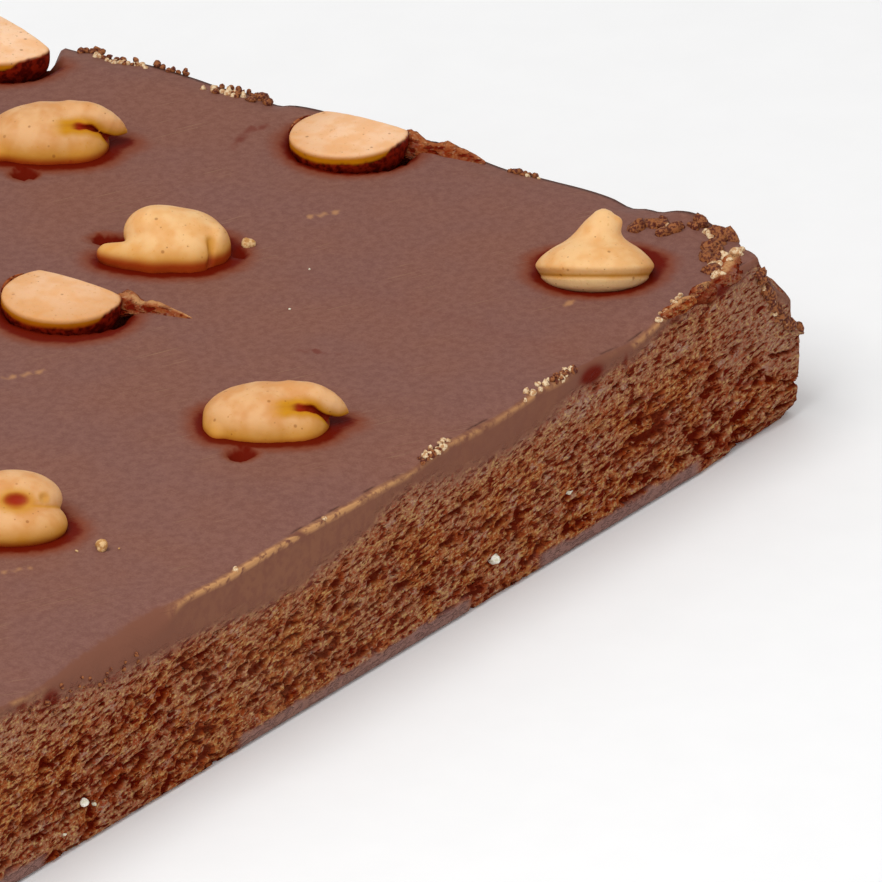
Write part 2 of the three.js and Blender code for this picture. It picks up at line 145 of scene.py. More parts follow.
def rough_noise(x: Array, y: Array, seed: float) -> Array:
    """Three octaves of the noise, 0 to 1, each half as strong and twice as fine as the last."""
    total = noise(x, y, seed) + 0.5 * noise(2 * x, 2 * y, seed + 3) + 0.25 * noise(4 * x, 4 * y, seed + 7)
    return total / 1.75


def wander(x: Array, y: Array, seed: float, amount: float) -> Array:
    """Rough noise about nothing: from minus half the amount to plus half of it."""
    return amount * (rough_noise(x, y, seed) - 0.5)


def lump_noise(p: Array, size: float, seed: float) -> Array:
    """Noise from -1 to 1 in space: three plane patterns, one for each pair of axes, averaged.

    Args:
        p: Points, with x, y and z in the last axis.
        size: Lattice spacing in millimetres.
        seed: Which pattern.

    Returns:
        One value for each point.
    """
    q = p / size
    total = noise(q[..., 0], q[..., 1], seed) + noise(q[..., 1], q[..., 2], seed + 1)
    return (total + noise(q[..., 2], q[..., 0], seed + 2)) * 2.0 / 3.0 - 1.0


# ---- soft bodies ----
def ellipsoid(p: Array, centre: Sequence[float], size: Sequence[float]) -> Array:
    """Signed depth in an ellipsoid: below zero inside, above it outside.

    Args:
        p: Points.
        centre: Its middle.
        size: Its three semi-axes.

    Returns:
        k (k - 1) / g, where k is the distance in units of the semi-axes and g that distance's slope.
    """
    q = (p - np.array(centre)) / np.array(size)
    k = np.linalg.norm(q, axis=-1)
    g = np.linalg.norm(q / np.array(size), axis=-1)
    return k * (k - 1.0) / np.maximum(g, 1e-6)


def limb(p: Array, start: Sequence[float], end: Sequence[float], radii: tuple[float, float]) -> Array:
    """Signed depth in a limb that tapers between two round ends.

    Args:
        p: Points.
        start: Middle of the first end.
        end: Middle of the second end.
        radii: Radius at each end.

    Returns:
        Distance from the line between the ends, less the radius at the nearest place on it.
    """
    a, b = np.array(start, float), np.array(end, float)
    along = b - a
    t = np.clip(((p - a) @ along) / (along @ along), 0.0, 1.0)
    away = p - a - t[..., None] * along
    return np.linalg.norm(away, axis=-1) - mix(radii[0], radii[1], t)


def chain(p: Array, links: Sequence[Sequence[float]], fillet: float = 0.3) -> Array:
    """Signed depth in a bent limb: limbs from each link to the next, joined.

    Args:
        p: Points.
        links: For each link its x, y, z and radius.
        fillet: Fillet where two limbs meet.

    Returns:
        The union's signed depth.
    """
    total = limb(p, links[0][:3], links[1][:3], (links[0][3], links[1][3]))
    for a, b in zip(links[1:-1], links[2:]):
        total = join(total, limb(p, a[:3], b[:3], (a[3], b[3])), fillet)
    return total


def join(a: Array, b: Array, fillet: float) -> Array:
    """Union of two signed depths with a fillet between them."""
    h = np.maximum(fillet - np.abs(a - b), 0.0) / fillet
    return np.minimum(a, b) - h * h * fillet / 4.0


def carve(a: Array, b: Array, fillet: float) -> Array:
    """Signed depth a with b taken out of it, its lip rounded by the fillet."""
    return -join(-a, b, fillet)


# ---- meshes ----
def make_mesh(
    name: str,
    points: Array,
    quads: Array,
    triangles: Array,
    material: bpy.types.Material,
    paint: Mapping[str, Array] | None = None,
) -> bpy.types.Object:
    """Put a surface worked out in millimetres into a mesh object at the origin.

    Args:
        name: Piece name.
        points: One row of x, y, z for each vertex, in millimetres.
        quads: Four vertex numbers for each square face, outward.
        triangles: Three vertex numbers for each other face, outward.
        material: Its finish.
        paint: Values per vertex that the finish reads, by name.

    Returns:
        The new object, linked to the scene.
    """
    quads = np.asarray(quads, np.int32).reshape(-1, 4)
    triangles = np.asarray(triangles, np.int32).reshape(-1, 3)
    mesh = bpy.data.meshes.new(name)
    mesh.vertices.add(len(points))
    mesh.vertices.foreach_set("co", (np.asarray(points) * MM).astype(np.float32).ravel())
    corners = np.concatenate([quads.ravel(), triangles.ravel()])
    sizes = np.concatenate([np.full(len(quads), 4), np.full(len(triangles), 3)])
    mesh.loops.add(len(corners))
    mesh.loops.foreach_set("vertex_index", corners.astype(np.int32))
    mesh.polygons.add(len(sizes))
    starts = np.concatenate([[0], np.cumsum(sizes)[:-1]])
    mesh.polygons.foreach_set("loop_start", starts.astype(np.int32))
    mesh.polygons.foreach_set("use_smooth", np.ones(len(sizes), bool))
    mesh.update(calc_edges=True)
    mesh.validate()
    for key, values in (paint or {}).items():
        layer = mesh.attributes.new(key, "FLOAT", "POINT")
        layer.data.foreach_set("value", np.asarray(values, np.float32).ravel())
    mesh.materials.append(material)
    piece = bpy.data.objects.new(name, mesh)
    bpy.context.scene.collection.objects.link(piece)
    return piece


def ring_faces(rings: int, around: int) -> tuple[Array, Array]:
    """Faces of a closed surface made of rings between two poles.

    Vertex 0 is the first pole, vertex 1 the second, and ring r starts at 2 + r * around.

    Args:
        rings: How many rings.
        around: Vertices in each ring.

    Returns:
        The square faces between rings, and the triangles at the poles.
    """
    i = np.arange(around)
    after = (i + 1) % around
    r = np.arange(rings - 1)[:, None]
    here, there = 2 + r * around, 2 + (r + 1) * around
    quads = np.stack([here + i, there + i, there + after, here + after], -1).reshape(-1, 4)
    last = 2 + (rings - 1) * around
    caps = [np.stack([np.zeros_like(i), 2 + i, 2 + after], -1),
            np.stack([np.ones_like(i), last + after, last + i], -1)]
    return quads, np.concatenate(caps)


def surface_net(depth: Depth, low: Triple, high: Triple, cell: float) -> tuple[Array, Array]:
    """Closed mesh of the place where a signed depth is zero.

    The space is cut into cubes. A cube whose corners are partly inside gets one vertex, the mean
    of the places where its edges cross the surface, and each crossed edge of the lattice gets one
    square face between the four cubes round it. Two steps along the slope then set the vertices
    on the surface itself.

    Args:
        depth: Signed depth of the body.
        low: Lower corner of the space.
        high: Upper corner of the space.
        cell: Side of a cube.

    Returns:
        The vertices, and four vertex numbers for each face, outward.
    """
    axes = [np.arange(a, b + cell, cell) for a, b in zip(low, high)]
    lattice = np.stack(np.meshgrid(*axes, indexing="ij"), -1)
    value = depth(lattice)
    inside = value < 0
    cells = np.array(inside.shape) - 1
    total, count = np.zeros((*cells, 3)), np.zeros(tuple(cells))
    for axis in range(3):
        here, there = [slice(None)] * 3, [slice(None)] * 3
        here[axis], there[axis] = slice(None, -1), slice(1, None)
        a, b = value[tuple(here)], value[tuple(there)]
        crossed = (a < 0) != (b < 0)
        share = np.where(crossed, a / np.where(crossed, a - b, 1.0), 0.0)
        place = lattice[tuple(here)] + share[..., None] * cell * np.eye(3)[axis]
        others = [k for k in range(3) if k != axis]
        for u in (0, 1):
            for v in (0, 1):
                corner = [slice(None)] * 3
                corner[others[0]] = slice(u, u + cells[others[0]])
                corner[others[1]] = slice(v, v + cells[others[1]])
                hit = crossed[tuple(corner)]
                total += place[tuple(corner)] * hit[..., None]
                count += hit
    used = count > 0
    number = np.full(tuple(cells), -1)
    number[used] = np.arange(used.sum())
    points = total[used] / count[used][:, None]
    faces = []
    for axis in range(3):
        others = [k for k in range(3) if k != axis]
        here, there = [slice(1, -1)] * 3, [slice(1, -1)] * 3
        here[axis], there[axis] = slice(None, -1), slice(1, None)
        a, b = inside[tuple(here)], inside[tuple(there)]
        ring = []
        for u, v in ((0, 0), (1, 0), (1, 1), (0, 1)):
            part = [slice(None)] * 3
            part[others[0]] = slice(u, u + cells[others[0]] - 1)
            part[others[1]] = slice(v, v + cells[others[1]] - 1)
            ring.append(number[tuple(part)])
        quad = np.stack(ring, -1)
        turned = quad[..., ::-1]
        first, second = (quad, turned) if axis != 1 else (turned, quad)
        faces += [first[a & ~b], second[b & ~a]]
    step, least_slope, reach = 0.02, 0.3, 0.4 * cell
    for _ in range(2):
        rises = [depth(points + step * e) - depth(points - step * e) for e in np.eye(3)]
        slope = np.stack(rises, -1) / (2 * step)
        size = np.maximum((slope ** 2).sum(-1, keepdims=True), least_slope)
        points = points - np.clip(depth(points)[..., None] * slope / size, -reach, reach)
    return points, np.concatenate(faces)


# ---- nodes and finishes ----
def linear(code: str) -> tuple[float, float, float, float]:
    """Turn an sRGB hex colour into linear red, green, blue and alpha.

    Args:
        code: Six hex digits.

    Returns:
        Each channel c over 255, as c / 12.92 when small and ((c + 0.055) / 1.055) ** 2.4 otherwise.
    """
    channels = [int(code[k:k + 2], 16) / 255 for k in (0, 2, 4)]
    bent = [c / 12.92 if c <= 0.04045 else ((c + 0.055) / 1.055) ** 2.4 for c in channels]
    return (bent[0], bent[1], bent[2], 1.0)


def add_node(tree: bpy.types.NodeTree, kind: str, settings: Mapping[str, object] | None = None,
             inputs: Mapping[str | int, object] | None = None) -> bpy.types.Node:
    """Add a node with its settings, and its inputs' values or links.

    Args:
        tree: The material's node tree.
        kind: Blender's name for the node type.
        settings: Properties of the node.
        inputs: For each input, a value or the output socket that feeds it.

    Returns:
        The new node.
    """
    node = tree.nodes.new(kind)
    for key, value in (settings or {}).items():
        setattr(node, key, value)
    for key, value in (inputs or {}).items():
        if isinstance(value, bpy.types.NodeSocket):
            tree.links.new(value, node.inputs[key])
        else:
            node.inputs[key].default_value = value
    return node


class Canvas:
    """A new material's tree with its shader, and short ways to say its patterns."""

    def __init__(self, name: str) -> None:
        """Start a material with one Principled shader.

        Args:
            name: What the material is.
        """
        self.material = bpy.data.materials.new(name)
        self.material.use_nodes = True
        self.tree = self.material.node_tree
        self.shader = self.tree.nodes["Principled BSDF"]
        self.place = add_node(self.tree, "ShaderNodeTexCoord").outputs["Object"]

    def painted(self, name: str) -> bpy.types.NodeSocket:
        """A value painted on the vertices."""
        return add_node(self.tree, "ShaderNodeAttribute", {"attribute_name": name}).outputs["Fac"]

    def grain(self, size: float, detail: float = 2.0, stretch: Triple = (1, 1, 1),
              turn: Triple = (0, 0, 0)) -> bpy.types.NodeSocket:
        """Noise with a real grain size.

        Args:
            size: Grain size in millimetres.
            detail: Extra octaves.
            stretch: How many times longer the grain is along each axis.
            turn: Rotation of the pattern in degrees.

        Returns:
            The noise, about 0 to 1.
        """
        scale = [1 / s for s in stretch]
        turned = add_node(self.tree, "ShaderNodeMapping", {"vector_type": "TEXTURE"},
                          {"Vector": self.place, "Rotation": [math.radians(a) for a in turn]})
        mapped = add_node(self.tree, "ShaderNodeMapping", {}, {"Vector": turned.outputs[0], "Scale": scale})
        pattern = {"Vector": mapped.outputs[0], "Scale": 1 / (size * MM), "Detail": detail, "Roughness": 0.55}
        return add_node(self.tree, "ShaderNodeTexNoise", {}, pattern).outputs["Fac"]

    def ramp(self, value: bpy.types.NodeSocket, low: float, high: float) -> bpy.types.NodeSocket:
        """Ease a value from 0 at low to 1 at high."""
        return add_node(self.tree, "ShaderNodeMapRange", {"interpolation_type": "SMOOTHSTEP"},
                        {"Value": value, "From Min": low, "From Max": high}).outputs["Result"]

    def sum(self, kind: str, a: object, b: object) -> bpy.types.NodeSocket:
        """One arithmetic step on two values, held between 0 and 1 except for a plain sum."""
        settings = {"operation": kind, "use_clamp": kind != "ADD"}
        return add_node(self.tree, "ShaderNodeMath", settings, {0: a, 1: b}).outputs[0]

    def share(self, part: float, value: object) -> bpy.types.NodeSocket:
        """A part of a value."""
        return self.sum("MULTIPLY", value, part)

    def blend(self, share: object, under: object, over: object) -> bpy.types.NodeSocket:
        """Lay one colour over another by a share from 0 to 1."""
        layers = {0: share, 6: under, 7: over}
        return add_node(self.tree, "ShaderNodeMix", {"data_type": "RGBA"}, layers).outputs[2]

    def emboss(self, height: bpy.types.NodeSocket, depth: float, under: bpy.types.NodeSocket | None = None,
               ) -> bpy.types.NodeSocket:
        """Raise a pattern by a real depth.

        Args:
            height: The pattern, 0 to 1.
            depth: How high 1 stands, in millimetres.
            under: The relief that it lies on, if there is one.

        Returns:
            The normal that feeds the shader or the next relief.
        """
        inputs: dict[str | int, object] = {"Height": height, "Distance": depth * MM, "Strength": 1.0}
        if under is not None:
            inputs["Normal"] = under
        return add_node(self.tree, "ShaderNodeBump", {}, inputs).outputs["Normal"]

    def feed(self, **inputs: object) -> None:
        """Set or link the shader's own sockets; underscores in the names stand for spaces."""
        for key, value in inputs.items():
            socket = self.shader.inputs[key.replace("_", " ")]
            if isinstance(value, bpy.types.NodeSocket):
                self.tree.links.new(value, socket)
            else:
                socket.default_value = value


@dataclass(frozen=True)
class FudgeFinish:
    """Chocolate fudge: poured, smoothed with a spatula, set, and torn by a knife.

    The smooth skin is a muted milk chocolate brown with a dull satin. Where it was cut the sugar
    crumb shows: redder, with dark pores and tan crumbs, and no gloss. Sizes are in millimetres;
    the sugar grain is drawn a little coarser than the real one, so that it shows.
    """

    skin: str = "7b5248"
    skin_warm: str = "825443"
    skin_cool: str = "765450"
    mottle_dark: str = "70473e"
    mottle_light: str = "855b50"
    crumb: str = "9c5a2f"
    crumb_grey: str = "936c58"
    crumb_lilac: str = "9d7d70"
    # The next four colours stand partly for light: tan on raised grains and pale crumbs as painted
    # highlights, red on low grains and round the pores and the pore colour as painted shade.
    crumb_tan: str = "c19c60"
    crumb_highlight: str = "cfa680"
    crumb_red: str = "8a2e06"
    pore: str = "5a0a00"
    smear: str = "7a4e3e"
    # Pale fudge of the burr and the pale scuffs, and with it painted highlights on the top edge and the
    # ridges' crests.
    burr: str = "bd8a5c"
    foot: str = "8c6860"
    # This and the next colour are painted shade round the chips and pits, partly stained fudge, and its
    # red-brown fringe; this one also darkens the dark scuffs and the dark spots.
    shade_and_stain: str = "621204"
    shade_fringe: str = "7a3212"
    scratch: str = "a07a60"
    skin_roughness: float = 0.5
    crumb_roughness: float = 0.75
    specular: float = 0.02
    cloud_size: float = 16.0
    mottle_size: float = 0.7
    sugar_size: float = 0.16
    sugar_depth: float = 0.010
    drag_size: float = 0.22
    drag_stretch: Triple = (30, 1, 30)
    drag_heading: float = -24
    drag_patch: float = 8.0
    drag_depth: float = 0.03
    patch_size: float = 3.4
    island_size: float = 1.0
    grain_size: float = 0.22
    pore_size: float = 0.34
    lip_size: float = 0.24
    crumb_depth: float = 0.45
    slant: float = -5.0

    def skin_colour(self, c: Canvas) -> tuple[bpy.types.NodeSocket, bpy.types.NodeSocket]:
        """Colour of the smooth skin: slow clouds, fine sugar speckle and drag marks.

        Args:
            c: The material's canvas.

        Returns:
            The colour, and the drag marks' pattern for the relief.
        """
        clouds = c.ramp(c.grain(self.cloud_size, 3.0), 0.35, 0.65)
        top = c.blend(clouds, linear(self.skin_cool), linear(self.skin_warm))
        top = c.blend(0.5, top, linear(self.skin))
        mottle = c.ramp(c.grain(self.mottle_size, 4.0), 0.34, 0.66)
        top = c.blend(0.45, top, c.blend(mottle, linear(self.mottle_dark), linear(self.mottle_light)))
        speckle = c.ramp(c.grain(self.sugar_size, 1.0), 0.35, 0.8)
        top = c.blend(c.share(0.17, speckle), top, linear(self.scratch))
        drag = c.grain(self.drag_size, 1.0, self.drag_stretch, (0, 0, self.drag_heading))
        patches = c.ramp(c.grain(self.drag_patch, 1.0), 0.50, 0.62)
        marks = c.sum("MULTIPLY", c.ramp(drag, 0.64, 0.76), patches)
        return c.blend(c.share(0.42, marks), top, linear(self.scratch)), marks

    def crumb_colour(self, c: Canvas) -> tuple[bpy.types.NodeSocket, bpy.types.NodeSocket]:
        """Colour of the torn crumb: brown and grey patches, grains with painted highlights and shade,
        slanting pores painted dark as shade with red rims, and pale painted highlights.

        Args:
            c: The material's canvas.

        Returns:
            The colour, and a height from 0 to 1 for the relief, low in the pores.
        """
        turn = (0.0, self.slant, 0.0)
        patch = c.ramp(c.grain(self.patch_size, 2.0), 0.42, 0.62)
        patch = c.sum("MAXIMUM", c.share(0.5, patch), c.painted("grey"))
        torn = c.blend(patch, linear(self.crumb), linear(self.crumb_grey))
        islands = c.ramp(c.grain(self.island_size, 2.0, (1.8, 1.8, 1.0), turn), 0.58, 0.68)
        torn = c.blend(c.share(0.6, islands), torn, linear(self.crumb_lilac))
        grain = c.grain(self.grain_size, 2.0, (1.7, 1.7, 1.0), turn)
        # The grey parts are calmer: their grains and lips stand out less.
        lively = add_node(c.tree, "ShaderNodeMapRange", {},
                          {"Value": c.painted("grey"), "To Min": 1.0, "To Max": 0.75}).outputs[0]
        # Painted light, partly the crumb's own tones: grains that the relief raises are painted tan as lit,
        # and low ones dark red as shade.
        lit, dark = (0.52, 0.68, 0.75, self.crumb_tan), (0.49, 0.34, 0.85, self.crumb_red)
        for low, high, part, colour in (lit, dark):
            grains = c.sum("MULTIPLY", c.ramp(grain, low, high), c.share(part, lively))
            torn = c.blend(grains, torn, linear(colour))
        # Fine pores come from noise alone; the large ones follow the painted relief.
        fine = c.grain(self.pore_size, 2.0, (3.0, 3.0, 1.0), turn)
        calm = c.share(0.04, c.painted("grey"))
        fine = add_node(c.tree, "ShaderNodeMath", {"operation": "SUBTRACT"}, {0: fine, 1: calm}).outputs[0]
        large = add_node(c.tree, "ShaderNodeMath", {"operation": "MULTIPLY_ADD"},
                         {0: grain, 1: 0.8, 2: c.painted("pore")}).outputs[0]
        rims = c.sum("MAXIMUM", c.ramp(fine, 0.50, 0.57), c.ramp(large, 0.50, 0.90))
        pores = c.sum("MAXIMUM", c.ramp(fine, 0.56, 0.63), c.ramp(large, 0.82, 1.15))
        # Painted shade: the pores are painted dark and their rims red, as holes where shade falls.
        torn = c.blend(c.share(0.8, rims), torn, linear(self.crumb_red))
        torn = c.blend(c.share(0.95, pores), torn, linear(self.pore))
        # Painted highlight: pale crumbs, as the pores' lower lips catching the light, in a grain kept off the
        # pores.
        lips = c.ramp(c.grain(self.lip_size, 1.0, (1.4, 1.4, 1.0)), 0.58, 0.74)
        lips = c.sum("SUBTRACT", c.sum("MULTIPLY", lips, lively), pores)
        torn = c.blend(c.share(0.5, lips), torn, linear(self.crumb_highlight))
        hollow = c.sum("MAXIMUM", c.ramp(fine, 0.46, 0.66), c.ramp(large, 0.50, 1.15))
        raised = c.sum("ADD", c.share(0.5, grain), 0.5)
        return torn, c.sum("SUBTRACT", raised, c.share(0.5, hollow))

    def build(self) -> bpy.types.Material:
        """Make the material.

        Returns:
            A material that reads the painted values cut, smear, burr, foot, seat, scuff, bruise, pore
            and grey.
        """
        c = Canvas("chocolate_fudge")
        top, marks = self.skin_colour(c)
        torn, height = self.crumb_colour(c)
        cut = c.painted("cut")
        # Where the knife wiped skin over the crumb, the edge of the smear is ragged.
        wiped = c.sum("ADD", c.painted("smear"), c.grain(0.5, 3.0, (2, 2, 1)))
        wiped = c.ramp(wiped, 0.6, 1.25)
        colour = c.blend(wiped, c.blend(cut, top, torn), linear(self.smear))
        colour = c.blend(c.painted("foot"), colour, linear(self.foot))
        # Painted shade, partly stained fudge: a dark ring hugs each chip and pit and reaches under
        # overhanging tips, and a red-brown fringe of painted shade fades out from it.
        ragged = c.share(0.7, c.grain(0.9, 2.0))
        seat = add_node(c.tree, "ShaderNodeMath", {"operation": "ADD"},
                        {0: c.painted("seat"), 1: ragged}).outputs[0]
        colour = c.blend(c.share(0.75, c.ramp(seat, 3.0, 1.0)), colour, linear(self.shade_fringe))
        colour = c.blend(c.ramp(seat, 1.6, 0.85), colour, linear(self.shade_and_stain))
        # Dark spots under the front edge; on the torn ridges and lips the same paint is painted shade on
        # their lower sides.
        colour = c.blend(c.painted("dark_patch"), colour, linear(self.shade_and_stain))
        scuff = c.painted("scuff")
        colour = c.blend(c.share(0.6, c.ramp(scuff, 0.15, 0.7)), colour, linear(self.burr))
        colour = c.blend(c.share(0.5, c.ramp(scuff, -0.1, -0.6)), colour, linear(self.shade_and_stain))
        # Painted highlight, partly pale fudge: the burr that the knife left along the top edge is painted
        # pale where it catches the light.
        line = c.sum("MULTIPLY", c.painted("burr"), c.ramp(c.grain(0.7, 3.0), 0.30, 0.58))
        colour = c.blend(line, colour, linear(self.burr))
        # Relief: sugar grain, drag marks, and the crumb's grains and pores.
        sugar = c.emboss(c.grain(self.sugar_size, 1.0), self.sugar_depth)
        marked = c.emboss(marks, self.drag_depth, sugar)
        crumbs = c.emboss(c.sum("MULTIPLY", cut, height), self.crumb_depth, marked)
        rough = add_node(c.tree, "ShaderNodeMapRange", {}, {
            "Value": cut, "To Min": self.skin_roughness, "To Max": self.crumb_roughness})
        c.feed(Base_Color=colour, Normal=crumbs, Roughness=rough.outputs[0], Specular_IOR_Level=self.specular)
        return c.material


@dataclass(frozen=True)
class ChipFinish:
    """Peanut butter confection: deposited warm in drops, set, waxy, with ground peanut specks.

    It lets a little light in, so it looks soft; its shaded side is also painted ochre, so that it goes ochre
    and not grey.
    """

    name: str = "peanut_butter_confection"
    body: str = "e0a566"
    pale: str = "e8b981"
    # The next three colours are painted: pale as light on a drop's foot, ochre as shade, which also colours
    # the flecks, and dark red as shade in slits and near the fudge, where the fudge partly stains it too.
    painted_light: str = "ffdca0"
    ochre: str = "c4851a"
    shade_and_stain: str = "96260a"
    crumb: str = "7e1a08"
    crumb_deep: str = "4c0702"
    speck: str = "8a4f20"
    roughness: float = 0.42
    specular: float = 0.07
    cloud_size: float = 2.2
    # Ground peanut specks: spacing in millimetres, and the chances between which they fade in.
    specks: tuple[Triple, ...] = ((0.95, 0.70, 0.80), (0.5, 0.80, 0.9))
    fleck_size: float = 0.3
    dimple_size: float = 0.8
    dimple_depth: float = 0.045
    wax_size: float = 0.15
    wax_depth: float = 0.008
    light_let_in: float = 0.10
    light_reach: float = 1.4

    def build(self) -> bpy.types.Material:
        """Make the material.

        Returns:
            A material that reads the painted values low, fresh, stain and coat.
        """
        c = Canvas(self.name)
        clouds = c.ramp(c.grain(self.cloud_size, 2.0), 0.35, 0.65)
        colour = c.blend(clouds, linear(self.body), linear(self.pale))
        # Painted shade: low parts, creases and undersides are painted ochre.
        colour = c.blend(c.painted("low"), colour, linear(self.ochre))
        # Painted light: the upright drop's foot, which faces down, is painted paler.
        colour = c.blend(c.painted("painted_light"), colour, linear(self.painted_light))
        for spacing, low, high in self.specks:
            cells = add_node(c.tree, "ShaderNodeTexVoronoi", {},
                             {"Vector": c.place, "Scale": 1 / (spacing * MM)})
            dots = c.ramp(cells.outputs["Distance"], 0.20, 0.10)
            chance = add_node(c.tree, "ShaderNodeSeparateColor", {}, {"Color": cells.outputs["Color"]})
            specks = c.sum("MULTIPLY", dots, c.ramp(chance.outputs[0], low, high))
            colour = c.blend(c.share(0.55, specks), colour, linear(self.speck))
        flecks = c.ramp(c.grain(self.fleck_size, 2.0), 0.62, 0.74)
        colour = c.blend(c.share(0.35, flecks), colour, linear(self.ochre))
        # Painted shade: dark red in the slits and the eye, and at the foot where the chip meets the fudge,
        # there partly fudge staining.
        colour = c.blend(c.painted("shade_and_stain"), colour, linear(self.shade_and_stain))
        # Fudge crumb clings where a chip was pressed in; the dark paint there is partly painted shade on the
        # underside.
        clinging = c.ramp(c.grain(0.5, 3.0), 0.38, 0.62)
        clinging = c.blend(clinging, linear(self.crumb_deep), linear(self.crumb))
        colour = c.blend(c.painted("coat_and_shade"), colour, clinging)
        dimples = c.emboss(c.grain(self.dimple_size, 2.0), self.dimple_depth)
        wax = c.emboss(c.grain(self.wax_size, 1.0), self.wax_depth, dimples)
        c.feed(Base_Color=colour, Normal=wax, Roughness=self.roughness, Specular_IOR_Level=self.specular,
               Subsurface_Weight=self.light_let_in, Subsurface_Radius=(1.0, 0.5, 0.2),
               Subsurface_Scale=self.light_reach * MM)
        return c.material


@dataclass(frozen=True)
class CrumbFinish:
    """A loose crumb: dry, matt, its colour uneven from grain to grain."""

    name: str
    dark: str
    light: str
    grain: float = 0.35

    def build(self) -> bpy.types.Material:
        """Make the material.

        Returns:
            A matt material with two colours mixed in grains.
        """
        c = Canvas(self.name)
        share = c.ramp(c.grain(self.grain, 2.0), 0.42, 0.58)
        c.feed(Base_Color=c.blend(share, linear(self.dark), linear(self.light)),
               Normal=c.emboss(c.grain(0.15, 2.0), 0.03), Roughness=0.7, Specular_IOR_Level=0.3)
        return c.material


# ---- the chips' forms ----
class ChipShape:
    """A baking chip's body in its own frame: the fudge's top is z = 0 and its tip points along X.

    Low and high are the corners of the space that it fits in. Floor is how deep its seat is and
    gap how far the seat's wall stands off its body. Shade is how much its foot is painted ochre as
    shade, and soak how high above the fudge the dark paint at its foot climbs, painted shade with
    some staining from the fudge. A Ball is a middle and three semi-axes, Knots are pairs of place
    and value, and the Rows here are places with a radius each.
    """

    low: Triple = (-7.2, -5.4, -4.2)
    high: Triple = (7.2, 5.4, 6.2)
    floor: float = 3.8
    gap: float = -0.75
    shade: float = 0.9
    shade_climb: float = 0.45

    def depth(self, p: Array) -> Array:
        """Signed depth of the body at each point."""
        raise NotImplementedError

    def shade_and_stain(self, p: Array) -> Array:
        """How dark a fold or a hole is painted at each point, as shade, 0 to 1."""
        return np.zeros(p.shape[:-1])

    def ochre(self, p: Array) -> Array:
        """How much each point is painted ochre, as shade under a fold, 0 to 1."""
        return np.zeros(p.shape[:-1])

    def painted_light(self, p: Array) -> Array:
        """How much paler each point is painted than the rest, as light, 0 to 1."""
        return np.zeros(p.shape[:-1])

    def coat_and_shade(self, p: Array) -> Array:
        """How much fudge clings to each point, painted dark and partly standing for shade, 0 to 1."""
        return np.zeros(p.shape[:-1])


@dataclass(frozen=True)
class UprightDrop(ChipShape):
    """An upright drop: rounded foot, crease, wide skirt, hollow flank and a blunt tip bent over."""

    flank: Knots = (
        (-1.9, 0.5), (-1.6, 2.4), (-1.1, 3.7), (-0.5, 4.35), (-0.05, 4.6), (0.0, 4.6), (0.25, 4.72),
        (0.75, 4.95), (1.2, 4.72), (1.66, 4.28), (2.3, 3.45), (2.65, 2.85), (3.0, 2.36), (3.4, 2.0),
        (4.1, 1.68), (4.5, 1.42), (5.0, 0.95), (5.3, 0.62), (5.5, 0.2))
    bend: Knots = ((0.0, 0.1), (1.6, 0.1), (2.6, 0.22), (3.3, 0.3), (4.2, 0.62), (5.5, 0.8))
    top: float = 5.5
    bottom: float = -1.9
    crease: float = 0.08
    nib: Ball = ((1.7, -0.1, 4.4), (0.66, 0.6, 0.5))

    floor = 2.5
    shade = 0.25
    shade_climb = 0.25

    def depth(self, p: Array) -> Array:
        """Body on a bent axis, with a nib beside the tip.

        Args:
            p: Points.

        Returns:
            Distance from the axis at that height less the radius there, joined with the nib.
        """
        away = np.hypot(p[..., 0] - course(p[..., 2], self.bend), p[..., 1])
        body = away - course(p[..., 2], self.flank) + self.crease * bell(p[..., 2] + 0.04, 0.11)
        body = np.maximum(body, np.maximum(p[..., 2] - self.top, self.bottom - p[..., 2]))
        return join(body, ellipsoid(p, *self.nib), 0.35)

    def painted_light(self, p: Array) -> Array:
        """Painted light: the foot below the ledge, which faces down, is painted paler."""
        return 0.8 * smooth((-0.12 - p[..., 2]) / 0.3)

    def ochre(self, p: Array) -> Array:
        """Painted shade: the crease and the rim of the foot are painted ochre, and so is the underside of the
        skirt.
        """
        skirt = 0.35 * smooth((1.0 - p[..., 2]) / 0.8) * (p[..., 2] > 0)
        return np.maximum(0.8 * bell(p[..., 2] - 0.10, 0.22), skirt)


